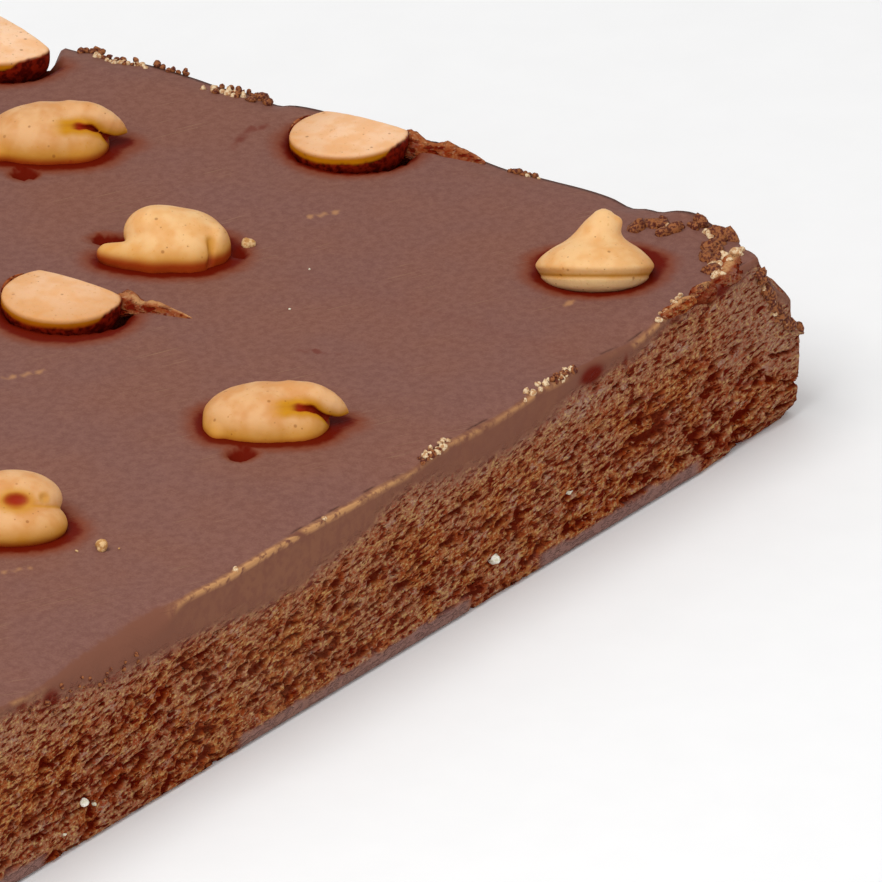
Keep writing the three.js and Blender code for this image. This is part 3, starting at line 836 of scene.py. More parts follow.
@dataclass(frozen=True)
class FallenDrop(ChipShape):
    """A drop on its side: a blunt body, and a tip folded over and down in front of it."""

    body: Ball = ((-0.85, 0.0, -0.15), (5.3, 4.05, 3.3))
    fold: Rows = (
        (-1.0, 0.8, 0.95, 2.1), (1.3, 0.5, 1.75, 1.45), (2.6, 0.1, 2.15, 1.12), (3.5, -0.1, 2.05, 1.0),
        (4.4, -0.1, 1.60, 0.88), (5.15, 0.0, 1.16, 0.58), (5.95, 0.1, 0.86, 0.06))
    lobe: Ball = ((1.7, -0.7, -0.3), (2.6, 3.0, 2.0))
    slit: Rows = (
        (-0.6, -2.7, 2.45, 0.04), (0.8, -2.35, 2.35, 0.10), (2.0, -1.8, 2.1, 0.15),
        (3.0, -1.2, 1.65, 0.20), (4.2, -0.6, 0.75, 0.34), (5.4, -0.2, 0.1, 0.55))
    web: Rows = ((1.0, -1.3, 1.75, 0.85), (2.0, -1.05, 1.5, 0.85), (3.0, -0.6, 1.0, 0.7))
    foot_cut: float = 5.9
    foot_rim: Ball = ((-4.6, -1.5, -0.2), (1.0, 1.8, 1.1))

    def depth(self, p: Array) -> Array:
        """Blunt body with a folded tip.

        Args:
            p: Points.

        Returns:
            Body, fold, lobe and web joined, the slit taken out, the foot end cut blunt and its
            rim added.
        """
        d = join(ellipsoid(p, *self.body), ellipsoid(p, *self.lobe), 0.6)
        d = join(join(d, chain(p, self.fold, 0.8), 0.35), chain(p, self.web), 0.2)
        d = carve(d, chain(p, self.slit), 0.3)
        d = -join(-d, p[..., 0] + self.foot_cut, 0.35)
        return join(d, ellipsoid(p, *self.foot_rim), 0.5)

    def shade_and_stain(self, p: Array) -> Array:
        """The slit is painted dark as shade, deepest near the tip."""
        inside = chain(p, self.slit)
        return smooth((0.32 - inside) / 0.28) * smooth((p[..., 0] - 1.2) / 0.8)

    def ochre(self, p: Array) -> Array:
        """The underside of the fold is painted ochre, as shade."""
        inside = chain(p, self.slit)
        return smooth((1.1 - inside) / 0.8) * smooth((p[..., 0] + 0.8) / 1.8)


@dataclass(frozen=True)
class CurledDrop(ChipShape):
    """A dome that leans over its own tip, drawn out low along one side, with a lobe opposite."""

    dome: Ball = ((0.85, 0.1, -0.1), (3.9, 3.95, 3.15))
    crown: Ball = ((-1.25, 0.35, 1.2), (2.8, 2.7, 2.2))
    finger: Rows = (
        (1.4, -2.2, -0.2, 2.0), (-1.5, -2.35, -0.1, 1.75), (-3.4, -2.2, 0.0, 1.25),
        (-4.7, -1.95, 0.05, 0.92), (-5.45, -1.7, 0.15, 0.82))
    lobe: Ball = ((3.65, -0.7, 0.0), (1.1, 1.9, 2.2))
    crease: tuple[Triple, Triple] = ((3.15, -3.3, -0.2), (3.15, -2.3, 1.6))

    shade_climb = 0.85

    def depth(self, p: Array) -> Array:
        """Dome with a finger drawn out of it.

        Args:
            p: Points.

        Returns:
            Dome, crown, finger and lobe joined, with the crease by the lobe taken out.
        """
        d = join(ellipsoid(p, *self.dome), ellipsoid(p, *self.crown), 0.9)
        d = join(d, chain(p, self.finger, 0.8), 0.7)
        d = join(d, ellipsoid(p, *self.lobe), 0.45)
        return carve(d, limb(p, *self.crease, (0.2, 0.08)), 0.5)

    def ochre(self, p: Array) -> Array:
        """Painted shade: the crease and the dome's shaded foot are painted ochre.

        Args:
            p: Points.

        Returns:
            The greater of the two, 0 to 1.
        """
        crease = smooth(1 - limb(p, *self.crease, (0.22, 0.1)) / 0.7)
        foot = smooth((1.5 - p[..., 2]) / 1.3) * smooth((p[..., 0] + 1.5) / 2.5) * 0.6
        return np.maximum(0.8 * crease, foot)


@dataclass(frozen=True)
class SlumpedDrop(ChipShape):
    """An upper lobe that sank onto a wider foot, with a sunken eye where its tip went in."""

    upper: Ball = ((0.65, 0.85, 1.65), (4.0, 3.0, 2.25))
    foot: Ball = ((0.5, -1.0, 0.3), (4.6, 3.4, 2.15))
    eye: Ball = ((1.0, -2.1, 2.95), (1.15, 0.7, 0.5))
    dimple: Ball = ((3.3, -1.2, 2.75), (0.35, 0.35, 0.3))

    floor = 2.4

    def depth(self, p: Array) -> Array:
        """Lobe and foot joined with a tight crease, and the eye pressed in."""
        d = join(ellipsoid(p, *self.upper), ellipsoid(p, *self.foot), 0.14)
        return carve(carve(d, ellipsoid(p, *self.eye), 0.6), ellipsoid(p, *self.dimple), 0.3)

    def shade_and_stain(self, p: Array) -> Array:
        """The eye's hollow is painted dark as shade in its middle."""
        return smooth((0.34 - ellipsoid(p, *self.eye)) / 0.3)

    def ochre(self, p: Array) -> Array:
        """Painted shade: ochre spreads round the eye and the dimple, and lies in the crease between the
        lobes.

        Args:
            p: Points.

        Returns:
            The greatest of the three, 0 to 1.
        """
        eye = 0.95 * smooth(1.0 - ellipsoid(p, *self.eye))
        dimple = 0.7 * smooth(1 - ellipsoid(p, *self.dimple) / 0.5)
        apart = np.abs(ellipsoid(p, *self.upper) - ellipsoid(p, *self.foot))
        crease = 0.75 * smooth(1 - apart / 0.3) * smooth(1.2 - p[..., 1]) * smooth((p[..., 0] + 1.0) / 3.0)
        return np.maximum(np.maximum(eye, dimple), crease)


@dataclass(frozen=True)
class CutDrop(ChipShape):
    """A drop pressed in foot up: its flat face shows, and the knife took off one side."""

    radius: float = 5.05
    rim: float = 0.8
    crown: float = 0.35
    deep: float = 3.4
    knife: float = 2.65
    bevel: float = 0.3

    floor = 3.7
    gap = 0.25

    def depth(self, p: Array) -> Array:
        """Round body, nearly flat above.

        Args:
            p: Points.

        Returns:
            An upright wall with a bowl below it and a slightly swollen face above, cut upright
            along one side.
        """
        across = np.hypot(p[..., 0], p[..., 1])
        bowl = ellipsoid(p, (0, 0, 0), (self.radius, self.radius, self.deep))
        wall = np.where(p[..., 2] > 0, across - self.radius, bowl)
        swell = self.crown * (1 - (across / self.radius) ** 2)
        face = p[..., 2] - self.rim - swell - wander(p[..., 0] / 2.2, p[..., 1] / 2.2, 4, 0.08)
        d = -join(-wall, -face, self.bevel)
        return -join(-d, -(p[..., 0] - self.knife), 0.25)

    def ochre(self, p: Array) -> Array:
        """The side below the rim is painted ochre, as shade."""
        return smooth((self.rim + 0.15 - p[..., 2]) / 0.6)

    def coat_and_shade(self, p: Array) -> Array:
        """Dark crumb clings to the underside; the dark paint partly stands for its shade.

        Args:
            p: Points.

        Returns:
            One below a ragged line, which climbs towards the torn side, and 0 above it.
        """
        ragged = wander(p[..., 0] / 0.8, p[..., 1] / 0.8, 6, 0.4)
        higher = 0.7 * smooth((0.57 * p[..., 0] - 0.82 * p[..., 1] - 2.0) / 2.2)
        return smooth((higher + ragged + 0.1 - p[..., 2]) / 0.25)


class Form(Enum):
    """The forms in which the chips lie in the fudge."""

    UPRIGHT = UprightDrop()
    FALLEN = FallenDrop()
    CURLED = CurledDrop()
    SLUMPED = SlumpedDrop()
    CUT = CutDrop()


@dataclass(frozen=True)
class BakingChip:
    """One chip in its place: the same centre, turn and lean as its solid.

    Lean is how many degrees it tips over and heading the bearing that it tips towards. The
    field seep is how far the painted shade round it on the fudge, partly fudge staining, is
    shifted along X and Y.
    """

    node: str
    form: Form
    at: tuple[float, float]
    turn: float = 0.0
    lean: float = 0.0
    heading: float = 0.0
    lift: float = 0.0
    shade_shift: tuple[float, float] = (-0.25, -0.5)
    cell: float = 0.15
    lumps: float = 0.07
    lump_size: float = 2.2
    ripple: float = 0.02
    ripple_size: float = 0.6
    shade_height: float = 2.1

    def frame(self) -> Matrix:
        """The move from the chip's own frame to the slab's.

        Returns:
            A turn about Z, then a lean, then a shift, in millimetres.
        """
        way = math.radians(self.heading)
        lean = Matrix.Rotation(math.radians(self.lean), 4, Vector((-math.sin(way), math.cos(way), 0)))
        turn = Matrix.Rotation(math.radians(self.turn), 4, "Z")
        return Matrix.Translation((*self.at, FudgeSkin.thickness + self.lift)) @ lean @ turn

    def distance(self, x: Array, y: Array, z: float) -> Array:
        """Signed distance of places from this chip's body.

        Args:
            x: Places along the slab.
            y: Places across it.
            z: Their one height.

        Returns:
            The form's depth at those places, turned back into its own frame.
        """
        back = np.array(self.frame().inverted())
        points = np.stack([x, y, np.full_like(x, z)], -1)
        return self.form.value.depth(points @ back[:3, :3].T + back[:3, 3])

    def build(self, finishes: Mapping[Form, bpy.types.Material]) -> bpy.types.Object:
        """Make the chip's surface and put it in the place of its solid.

        Args:
            finishes: The confection's material for each form.

        Returns:
            The chip's piece.
        """
        shape, finish = self.form.value, finishes[self.form]
        seed = 10 * int(self.node[-2:])

        def lumpy(p: Array) -> Array:
            """The form's depth with slow lumps and a fine ripple added."""
            lumps = self.lumps * lump_noise(p, self.lump_size, seed)
            return shape.depth(p) + lumps + self.ripple * lump_noise(p, self.ripple_size, seed + 5)

        local, faces = surface_net(lumpy, shape.low, shape.high, self.cell)
        move = np.array(self.frame())
        placed = local @ move[:3, :3].T + move[:3, 3]
        # Painted shade: ochre lower on the chip and under its folds, and dark where it meets the fudge;
        # painted light: a paler foot on the upright drops; and on the cut drops' undersides clinging crumb,
        # partly painted shade.
        height = placed[:, 2] - FudgeSkin.thickness
        shaded = shape.shade * smooth((self.shade_height - height) / 2.3)
        contact_shade = 0.9 * smooth((shape.shade_climb - height) / 0.8)
        paint = {"low": np.maximum(shaded, shape.ochre(local)), "painted_light": shape.painted_light(local),
                 "shade_and_stain": np.maximum(shape.shade_and_stain(local), contact_shade), "coat_and_shade": shape.coat_and_shade(local)}
        piece = make_mesh(self.node + "_confection", placed, faces, np.zeros((0, 3)), finish, paint)
        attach(piece, "root")
        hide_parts(self.node)
        return piece


CHIPS = (
    BakingChip("chip_01", Form.CUT, (55.2, 31.2), turn=-23, lift=0.6),
    BakingChip("chip_02", Form.FALLEN, (43.1, 16.4), turn=-55),
    BakingChip("chip_03", Form.CURLED, (31.0, -4.4), turn=-55),
    BakingChip("chip_04", Form.CUT, (16.73, -3.45), lean=2, heading=-145, shade_shift=(-1.4, -1.3)),
    BakingChip("chip_05", Form.FALLEN, (7.3, -31.7), turn=-55),
    BakingChip("chip_06", Form.CUT, (56.93, -4.05), lean=2.9, heading=125, lift=0.3),
    BakingChip("chip_07", Form.UPRIGHT, (47.0, -35.9), turn=-55, lean=22, heading=35, lift=-0.25,
               shade_shift=(1.05, 0.25)),
    BakingChip("chip_08", Form.SLUMPED, (-21.2, -25.2), turn=-55),
    BakingChip("chip_09", Form.CURLED, (36.5, 38.2), turn=70),
    BakingChip("chip_10", Form.UPRIGHT, (19.6, 22.6), lean=12, heading=-150, lift=-0.2),
    BakingChip("chip_11", Form.FALLEN, (-3.4, 8.8), turn=150),
    BakingChip("chip_12", Form.SLUMPED, (0.8, 37.1), turn=20),
    BakingChip("chip_13", Form.CUT, (-27.6, 24.3), turn=200, lean=6, heading=60),
    BakingChip("chip_14", Form.UPRIGHT, (-26.5, 1.4), lean=27, heading=-70, lift=-0.2),
    BakingChip("chip_15", Form.CURLED, (-47.2, -20.3), turn=165),
    BakingChip("chip_16", Form.FALLEN, (-50.8, 9.1), turn=35),
    BakingChip("chip_17", Form.SLUMPED, (-46.6, 36.0), turn=-120),
)


# ---- the slab ----
BARE_PAINT = {"cut": 0.0, "smear": 0.0, "burr": 0.0, "foot": 0.0, "seat": NO_CHIP_NEAR, "dark_patch": 0.0,
              "pore": 0.0, "grey": 0.0, "scuff": 0.0}


@dataclass(frozen=True)
class BoxPoint:
    """Points of the sharp box after its edges are rounded, with what the reliefs need to know.

    Out is the way out of the side faces, roll is 0 on them and grows to 1 round the top edge,
    inset is how far a point lies inside the outline, and side is 1 on the side faces.
    """

    x: Array
    y: Array
    z: Array
    out_x: Array
    out_y: Array
    roll: Array
    inset: Array
    side: Array

    @property
    def along(self) -> Array:
        """One running number round the faces: x plus 1.7 y."""
        return self.x + 1.7 * self.y


@dataclass(frozen=True)
class SkinMarks:
    """What covers the slab at each point, as shares from 0 to 1.

    On_front is the long cut face, upper the torn zone under the top edge, smear the skin wiped
    down over the crumb, cut the crumb's side of the ragged line under the edge, corner the broken
    corner, foot the skin along the foot, bare the crumb that is left, grey its calmer parts,
    pores its holes, which are also painted dark as shade, and burr the line of pale fudge on the
    edge, painted partly as a highlight.
    """

    on_front: Array
    upper: Array
    smear: Array
    cut: Array
    corner: Array
    foot: Array
    bare: Array
    grey: Array
    pores: Array
    burr: Array


@dataclass(frozen=True)
class FudgeSkin:
    """The slab's whole outside as one closed surface, from a box whose skin is bent and roughened.

    A point starts on a sharp box. Its plan is rounded at the corners and its section at the top
    edge and foot, then the cut faces are pressed back by crumb relief, and the top takes its
    waves, the seats of the chips, the sagging edges and the broken corner.
    """

    length: float = 126.0
    width: float = 92.0
    thickness: float = 16.2
    front_columns: int = 600
    front_rows: int = 70
    strip: tuple[float, ...] = (0.12, 0.26, 0.42, 0.6, 0.85, 1.15, 1.55, 2.05)
    corner_radius: float = 0.7
    foot_round: float = 0.35
    edge_roll: float = 1.5
    edge_drop: float = 1.3
    skin_height: float = 1.3
    crumb_relief: float = 0.75
    relief_kept: float = 0.35
    crumb_length: float = 5.5
    crumb_rise: float = 3.2
    crumbled_edge: float = 0.9
    back_edge_loss: float = 1.3
    top_wave: float = 0.22
    top_wave_length: float = 31.0
    break_reach: float = 10.0
    break_slant: float = 1.63
    break_drop: float = 5.6
    break_bend: float = 0.7
    break_roughness: float = 1.1
    break_radius: float = 2.3
    break_ledge: float = 11.6
    # The bite in the far edge: where it starts, and the bearing that it deepens towards.
    bite: Triple = (55.9, 26.6, 35.1)
    # Radius of the near corner in plan, by height.
    worn_foot: Knots = ((0.0, 1.9), (1.0, 1.5), (3.0, 0.9), (5.0, 0.6), (16.2, 0.6))
    foot_proud: float = 0.42
    foot_worn: float = 0.8
    dimple_depth: float = 0.12
    dimple_radius: float = 7.5
    pore_depth: float = 0.55
    pore_slant: float = 5.0
    edge_zone: float = 3.2
    grain_relief: float = 0.13
    bit_relief: float = 0.22
    flake_relief: float = 0.45
    flake_height: float = 11.3
    burr_rise: float = 0.10
    seat_reach: float = 12.0
    seat_level: float = 0.3
    overhang_level: float = 0.9
    seat_dip: float = 0.15
    seat_wall: float = 0.55
    pit_depth: float = 0.9
    pit_lip: float = 0.14
    # Small pits in the top: place and size.
    pits: tuple[Triple, ...] = (
        (36.6, 14.9, 1.1), (0.4, -33.3, 1.15), (29.6, 1.6, 1.0), (30.4, 0.4, 0.95), (33.6, -9.3, 0.7),
        (-12.5, 20.5, 1.0), (-38.0, -4.5, 1.1))
    # Scuffs on the top: two ends, half width, and tone from -1 dark to 1 pale.
    scuffs: Rows = (
        (1.9, -8.4, 4.9, -10.2, 0.28, 0.8), (42.9, -10.0, 45.1, -11.5, 0.26, 0.9),
        (39.9, -37.4, 41.7, -37.9, 0.2, 0.9), (52.5, 4.1, 54.6, 4.3, 0.3, -0.7),
        (54.6, 4.3, 56.2, 3.6, 0.3, -0.7), (50.4, 3.4, 52.5, 4.1, 0.3, -0.5),
        (19.9, -25.0, 20.9, -26.4, 0.25, -0.6), (20.9, -26.4, 21.2, -28.3, 0.25, -0.5),
        (-8.0, -2.0, -4.0, -4.5, 0.25, 0.6), (12.0, 12.0, 15.5, 9.5, 0.25, 0.5),
        (-30.0, -30.0, -27.0, -32.0, 0.25, 0.6))
    # How far the front edge is rolled over, by x.
    front_roll: Knots = ((-47, 0.8), (-41, 1.5), (-34, 2.6), (-28, 2.3), (-24.5, 0.8))
    # How far the top sags at the front edge, by x, and at the right-hand edge, by y.
    front_sag: Knots = (
        (-63, 0.2), (-49, 0.2), (-46, 0.45), (-41, 0.55), (-34, 0.5), (-27, 0.1), (-24.6, -0.1),
        (-18, 0.25), (-12.4, 0.25), (-5, 0.5), (4.2, 0.7), (7.1, 0.85), (10.7, 0.3), (19.3, 0.4),
        (25.8, 0.1), (28, 0.1), (33.7, 0.4), (39.5, 0.8), (43.8, 0.1), (48.2, 0.0), (54, -0.1), (63, -0.1))
    back_sag: Knots = (
        (-41, 0.4), (-38.3, 0.4), (-36.6, -0.35), (-34.5, -0.1), (-33, 0.5), (-31.5, 0.6), (-30, 0.95),
        (-28, 0.5), (-21, 0.5), (-17.3, 0.65), (-12.8, 0.15), (-10.2, -0.2), (-8.2, 0.1), (-5.2, -0.1),
        (2.4, 0.0), (4.9, 0.36), (6, 0.73), (8.9, 0.4), (12, 0.58), (15.1, 0.4), (20.2, 0.4),
        (22.7, 0.85), (25.2, 0.65), (26.5, 0.95), (28, 1.0), (33, 0.8), (41, 0.6))
    # How far down the front the skin is smeared, by x.
    smear_drop: Knots = (
        (-63, 0.9), (-50, 0.5), (-45, 0.4), (-41, 1.3), (-34, 2.6), (-27, 3.3), (-22, 3.5), (-18, 3.9),
        (-12.4, 4.7), (-6, 4.3), (-1.5, 3.2), (3, 2.0), (7, 1.6), (10, 2.2), (14, 3.1), (20, 3.4),
        (25, 3.0), (31, 1.9), (37, 1.2), (63, 0.5))
    # How strongly the burr shows along the front edge, by x.
    burr_strength: Knots = (
        (-63, 0.6), (-49, 0.8), (-45, 0.2), (-27, 0.0), (-24.5, 0.95), (6, 0.9), (9, 0.3), (12, 0.85),
        (19, 0.6), (27, 0.9), (30, 0.1), (37, 0.25), (40, 0.7), (44, 0.75), (47, 0.2), (63, 0.1))
    # Stretches of the front, in x, whose foot has kept its skin.
    foot_spans: Knots = ((-17.0, 14.0), (25.5, 47.0), (-63.0, -45.5))
    # Dark spots under the front edge: x, how far down, two half widths, and strength.
    dark_patches: Rows = (
        (-43.2, 1.4, 1.1, 0.75, 0.8), (-47.0, 0.8, 0.8, 0.35, 0.7), (32.6, 1.1, 1.7, 0.8, 0.95),
        (51.6, 0.8, 1.3, 0.55, 0.9), (37.6, 1.6, 0.35, 0.9, 0.6), (-35.0, 2.9, 1.6, 0.4, 0.4))

    # ---- shape -------------------------------------------------------------------------------
    def break_share(self, x: Array, y: Array) -> Array:
        """Share of the corner break: 0 away from it, 1 in the corner."""
        reach = self.break_slant * (self.length / 2 - x) + (y + self.width / 2)
        return np.clip(1 - reach / self.break_reach, 0, 1)

    def top_loss(self, x: Array, y: Array) -> Array:
        """How far the top lies below full thickness.

        Args:
            x: Places along the slab.
            y: Places across it.

        Returns:
            Depths in millimetres: the broken corner, ragged in two sizes, and the bite.
        """
        share = self.break_share(x, y)
        ragged = self.break_roughness * (noise(x / 1.9, y / 1.9, 5) - 0.5) * smooth(share * 3)
        fine = wander(x / 0.8, y / 0.8, 8, 0.5) * smooth(share * 4)
        return share ** self.break_bend * self.break_drop + ragged + fine + self.bite_depth(x, y)

    def bite_depth(self, x: Array, y: Array) -> Array:
        """How far the far edge is bitten down beside the chip that lies on it.

        Args:
            x: Places along the slab.
            y: Places across it.

        Returns:
            Depths in millimetres: a groove that starts at `bite` and deepens towards the edge.
        """
        a = math.radians(self.bite[2])
        away = (x - self.bite[0]) * math.cos(a) + (y - self.bite[1]) * math.sin(a)
        aside = (y - self.bite[1]) * math.cos(a) - (x - self.bite[0]) * math.sin(a)
        aside = aside + wander(x / 1.1, y / 1.1, 9, 0.5)
        return (0.46 * away + 0.6) * smooth(away / 0.8) * span(aside, -0.2, 4.6, 1.1)

    def top_height(self, x: Array, y: Array) -> Array:
        """Height of the smooth top: slow waves, the sag round each chip, and edges that sag.

        Args:
            x: Places along the slab.
            y: Places across it.

        Returns:
            Heights in millimetres.
        """
        wave = self.top_wave * (2 * noise(x / self.top_wave_length, y / self.top_wave_length, 3) - 1)
        sag = np.zeros_like(x)
        for chip in CHIPS:
            far = ((x - chip.at[0]) ** 2 + (y - chip.at[1]) ** 2) / self.dimple_radius ** 2
            sag += self.dimple_depth * np.exp(-far * far)
        front = course(x, self.front_sag) * smooth(1 - (y + self.width / 2) / 5)
        rear = course(y, self.back_sag) * smooth(1 - (self.length / 2 - x - 1.0) / 4.5)
        return self.thickness + wave - sag - front - rear

    def seats(self, x: Array, y: Array) -> tuple[Array, Array]:
        """How deep the seats of the chips and the pits are, and how near each place is to one.

        Args:
            x: Places along the slab.
            y: Places across it.

        Returns:
            Depth in millimetres, a soft dip towards the chip and then a steep wall inside its
            outline, and the distance from the nearest chip or pit, which the painted shade round them
            follows.
        """
        depth = np.zeros_like(x)
        near = np.full_like(x, NO_CHIP_NEAR)
        for chip in CHIPS:
            close = np.hypot(x - chip.at[0], y - chip.at[1]) < self.seat_reach
            px, py = x[close], y[close]
            shape, (sx, sy) = chip.form.value, chip.shade_shift
            d = chip.distance(px, py, self.thickness - self.seat_level)
            # For the painted shade: the distance from the body higher up, so that the shade reaches under an
            # overhanging tip, and the distance with the chip shifted, so that the shade falls more on one
            # side.
            over = chip.distance(px, py, self.thickness + self.overhang_level)
            contact_shade = chip.distance(px - sx, py - sy, self.thickness - self.seat_level)
            contact_shade = np.minimum(contact_shade, d + 0.3)
            d = d + wander(px / 1.6, py / 1.6, 40, 0.15)
            gap = np.full_like(px, shape.gap)
            if shape.gap > 0:
                # A chip that was pushed in leaves its gap wide in front and closed behind.
                bearing = (chip.at[1] - py) / np.maximum(np.hypot(px - chip.at[0], py - chip.at[1]), 1e-6)
                gap = gap + 0.8 * np.maximum(bearing, 0) ** 2 - 0.5 * np.maximum(-bearing, 0)
            dip = self.seat_dip * smooth(1 - (d - np.maximum(gap, 0)) / 1.3) ** 2
            wall = (shape.floor - self.seat_dip) * smooth((gap - d) / self.seat_wall)
            depth[close] = np.maximum(depth[close], dip + wall)
            near[close] = np.minimum(near[close], np.minimum(contact_shade, over + 0.3))
        for ax, ay, size in self.pits:
            far = np.hypot(x - ax, y - ay) - size * (0.85 + 0.3 * noise(x / 1.1, y / 1.1, 44))
            hole = self.pit_depth * smooth(0.3 - far / 0.8)
            depth = np.maximum(depth, hole) - self.pit_lip * bell(far - 0.45, 0.28)
            near = np.minimum(near, 1.8 * far + 0.7)
        return depth, near

    def outline(self, x: Array, y: Array, z: Array, inset: Array) -> tuple[Array, Array, Array, Array]:
        """Round the corners of the plan.

        Args:
            x: Places on the inset rectangle.
            y: The same, across.
            z: Their heights; the near corner is blunter above its ledge and worn at its foot.
            inset: How far the rectangle lies inside the slab's outline.

        Returns:
            The rounded x and y, and the outward direction's x and y. Each point is carried from
            the nearest place of the rectangle shrunk by the radius, out by the radius.
        """
        near_corner = (x > 0) & (y < 0)
        worn = mix(course(z, self.worn_foot), self.break_radius, smooth((z - self.break_ledge) / 0.4))
        r = np.where(near_corner, worn, self.corner_radius) * np.clip(1 - inset / 4, 0.02, 1)
        cx = np.clip(x, -(self.length / 2 - inset - r), self.length / 2 - inset - r)
        cy = np.clip(y, -(self.width / 2 - inset - r), self.width / 2 - inset - r)
        far = np.hypot(x - cx, y - cy)
        safe = np.maximum(far, 1e-9)
        nx, ny = (x - cx) / safe, (y - cy) / safe
        on_edge = far > 1e-6
        return (np.where(on_edge, cx + nx * r, x), np.where(on_edge, cy + ny * r, y),
                np.where(on_edge, nx, 0.0), np.where(on_edge, ny, 0.0))

    def rounded(self, x: Array, y: Array, z: Array) -> BoxPoint:
        """Round the box's top edge, foot and corners.

        Args:
            x: Places on the box.
            y: The same, across.
            z: The same, up.

        Returns:
            The rounded points. The top edge is a quarter ellipse, tighter along the front.
        """
        half_l, half_w = self.length / 2, self.width / 2
        to_x, to_y = half_l - np.abs(x), half_w - np.abs(y)
        inset, down = np.minimum(to_x, to_y), self.thickness - z
        front = smooth((to_x - to_y) / 2 + 0.5) * (y < 0)
        wide = mix(self.edge_roll, course(x, self.front_roll), front)
        tall = wide * self.edge_drop / self.edge_roll
        u, v = inset / wide, down / tall
        near = np.maximum(u, v) < 1
        far = np.maximum(np.hypot(u - 1, v - 1), 1e-9)
        u, v = np.where(near, 1 + (u - 1) / far, u), np.where(near, 1 + (v - 1) / far, v)
        roll = np.where(v <= 0, 1.0, np.where(u <= 0, 0.0, np.arctan2(1 - v, 1 - u) / (math.pi / 2)))
        rolled, z0 = u * wide, self.thickness - v * tall
        lift = np.clip(self.foot_round - z0, 0, None)
        foot = self.foot_round - np.sqrt(np.clip(self.foot_round ** 2 - lift ** 2, 0, None))
        rolled = np.where(inset < 1e-6, rolled + foot, rolled)
        bx = x * (half_l - rolled) / np.maximum(half_l - inset, 1e-9)
        by = y * (half_w - rolled) / np.maximum(half_w - inset, 1e-9)
        ox, oy, nx, ny = self.outline(bx, by, z0, rolled)
        side = (1 - smooth(roll)) * (inset < wide)
        return BoxPoint(ox, oy, z0, nx, ny, roll, rolled, side)

    def pore_field(self, s: Array, z: Array) -> Array:
        """Pores of a cut face, 0 to 1: slanting, drawn out, and thickest in the lower part.

        Args:
            s: Distance along the face.
            z: Height.

        Returns:
            Stretched noise in two sizes; above a half it is a pore.
        """
        a = math.radians(self.pore_slant)
        p, q = s * math.cos(a) + z * math.sin(a), z * math.cos(a) - s * math.sin(a)
        bent = wander(s / 2.6, z / 1.8, 71, 0.5)
        large = rough_noise(p / 2.7 + bent, q / 0.55 + bent, 72)
        small = rough_noise(p / 1.5, q / 0.36, 73)
        crowd = wander(s / 8.0, z / 4.0, 74, 0.14) + 0.09 * smooth((12.5 - z) / 5.0) - 0.05
        big = np.clip((large + crowd - 0.66) / 0.16, 0, 1)
        return np.maximum(big, np.clip((small + crowd - 0.62) / 0.18, 0, 1))

    def marks(self, q: BoxPoint) -> SkinMarks:
        """Work out what covers each point.

        Args:
            q: Points of the rounded box.

        Returns:
            The shares. The crumb shows below a ragged line under the top edge and all over the
            broken corner, except where skin is smeared down over it or has stayed on the foot.
        """
        down = self.thickness - q.z
        on_front = smooth((-q.out_y - 0.35) / 0.3)
        upper = smooth((q.z - self.thickness + self.edge_zone) / self.edge_zone) * (q.roll < 1)
        reach = course(q.x, self.smear_drop) + wander(q.x / 3.0, q.z / 1.1, 51, 1.4)
        smear = smooth((reach - down) / 3.2 + 0.5) * on_front * smooth((0.9 - q.roll) / 0.3)
        line = down + wander(q.along / 0.9, q.z, 65, 0.3)
        cut = smooth((line - 0.3) / 0.35) * smooth((0.58 - q.roll) / 0.2)
        corner = smooth((self.break_share(q.x, q.y) - 0.03) / 0.08) * smooth((q.z - 5) / 2.0)
        cut = np.maximum(cut, corner)
        foot_run = np.zeros_like(q.x)
        for low, high in self.foot_spans:
            foot_run = np.maximum(foot_run, span(q.x, low, high, 1.5))
        foot_run = mix(0.8, foot_run, on_front)
        foot_edge = self.skin_height + wander(q.along / 2.2, 0.5, 67, 0.7)
        foot = foot_run * smooth((foot_edge - q.z) / 0.3 + 0.5) * (down > 8)
        bare = q.side * cut * (1 - 0.8 * smear) * (1 - foot)
        grey = smooth((q.z - 8.5) / 4.5) * (0.35 + 0.5 * noise(q.along / 4, q.z / 3, 91))
        right_end = 0.85 * smooth((q.x - 46) / 8) * smooth((q.z - 4.0) / 5.0) * on_front
        grey = np.maximum(grey, right_end)
        pores = self.pore_field(q.along, q.z) * bare * (1 - 0.6 * corner) * (1 - 0.3 * grey)
        # A crack climbs to the right near the corner.
        crack = bell(q.z - 8.3 - 0.31 * (q.x - 59.0), 0.2) * span(q.x, 58.6, 62.4, 0.8) * on_front
        burr = course(q.x, self.burr_strength) * bell(q.roll - 0.42, 0.24) * on_front
        burr = burr * smooth((rough_noise(q.along / 1.6, q.z / 1.2, 61) - 0.20) / 0.3)
        pores = np.maximum(pores, crack)
        return SkinMarks(on_front, upper, smear, cut, corner, foot, bare, grey, pores, burr)

    def scuffing(self, x: Array, y: Array) -> Array:
        """How scuffed the top is.

        Args:
            x: Places along the slab.
            y: Places across it.

        Returns:
            The tones of the scuffs summed. Each is full on its line and fades out over twice its
            half width, with a ragged edge.
        """
        total = np.zeros_like(x)
        ragged = wander(x / 0.7, y / 0.7, 45, 0.25)
        for x0, y0, x1, y1, wide, tone in self.scuffs:
            run = (x - x0) * (x1 - x0) + (y - y0) * (y1 - y0)
            t = np.clip(run / math.hypot(x1 - x0, y1 - y0) ** 2, 0, 1)
            off = np.hypot(x - mix(x0, x1, t), y - mix(y0, y1, t)) + ragged
            total += tone * np.clip(1 - off / (2 * wide), 0, 1)
        return total

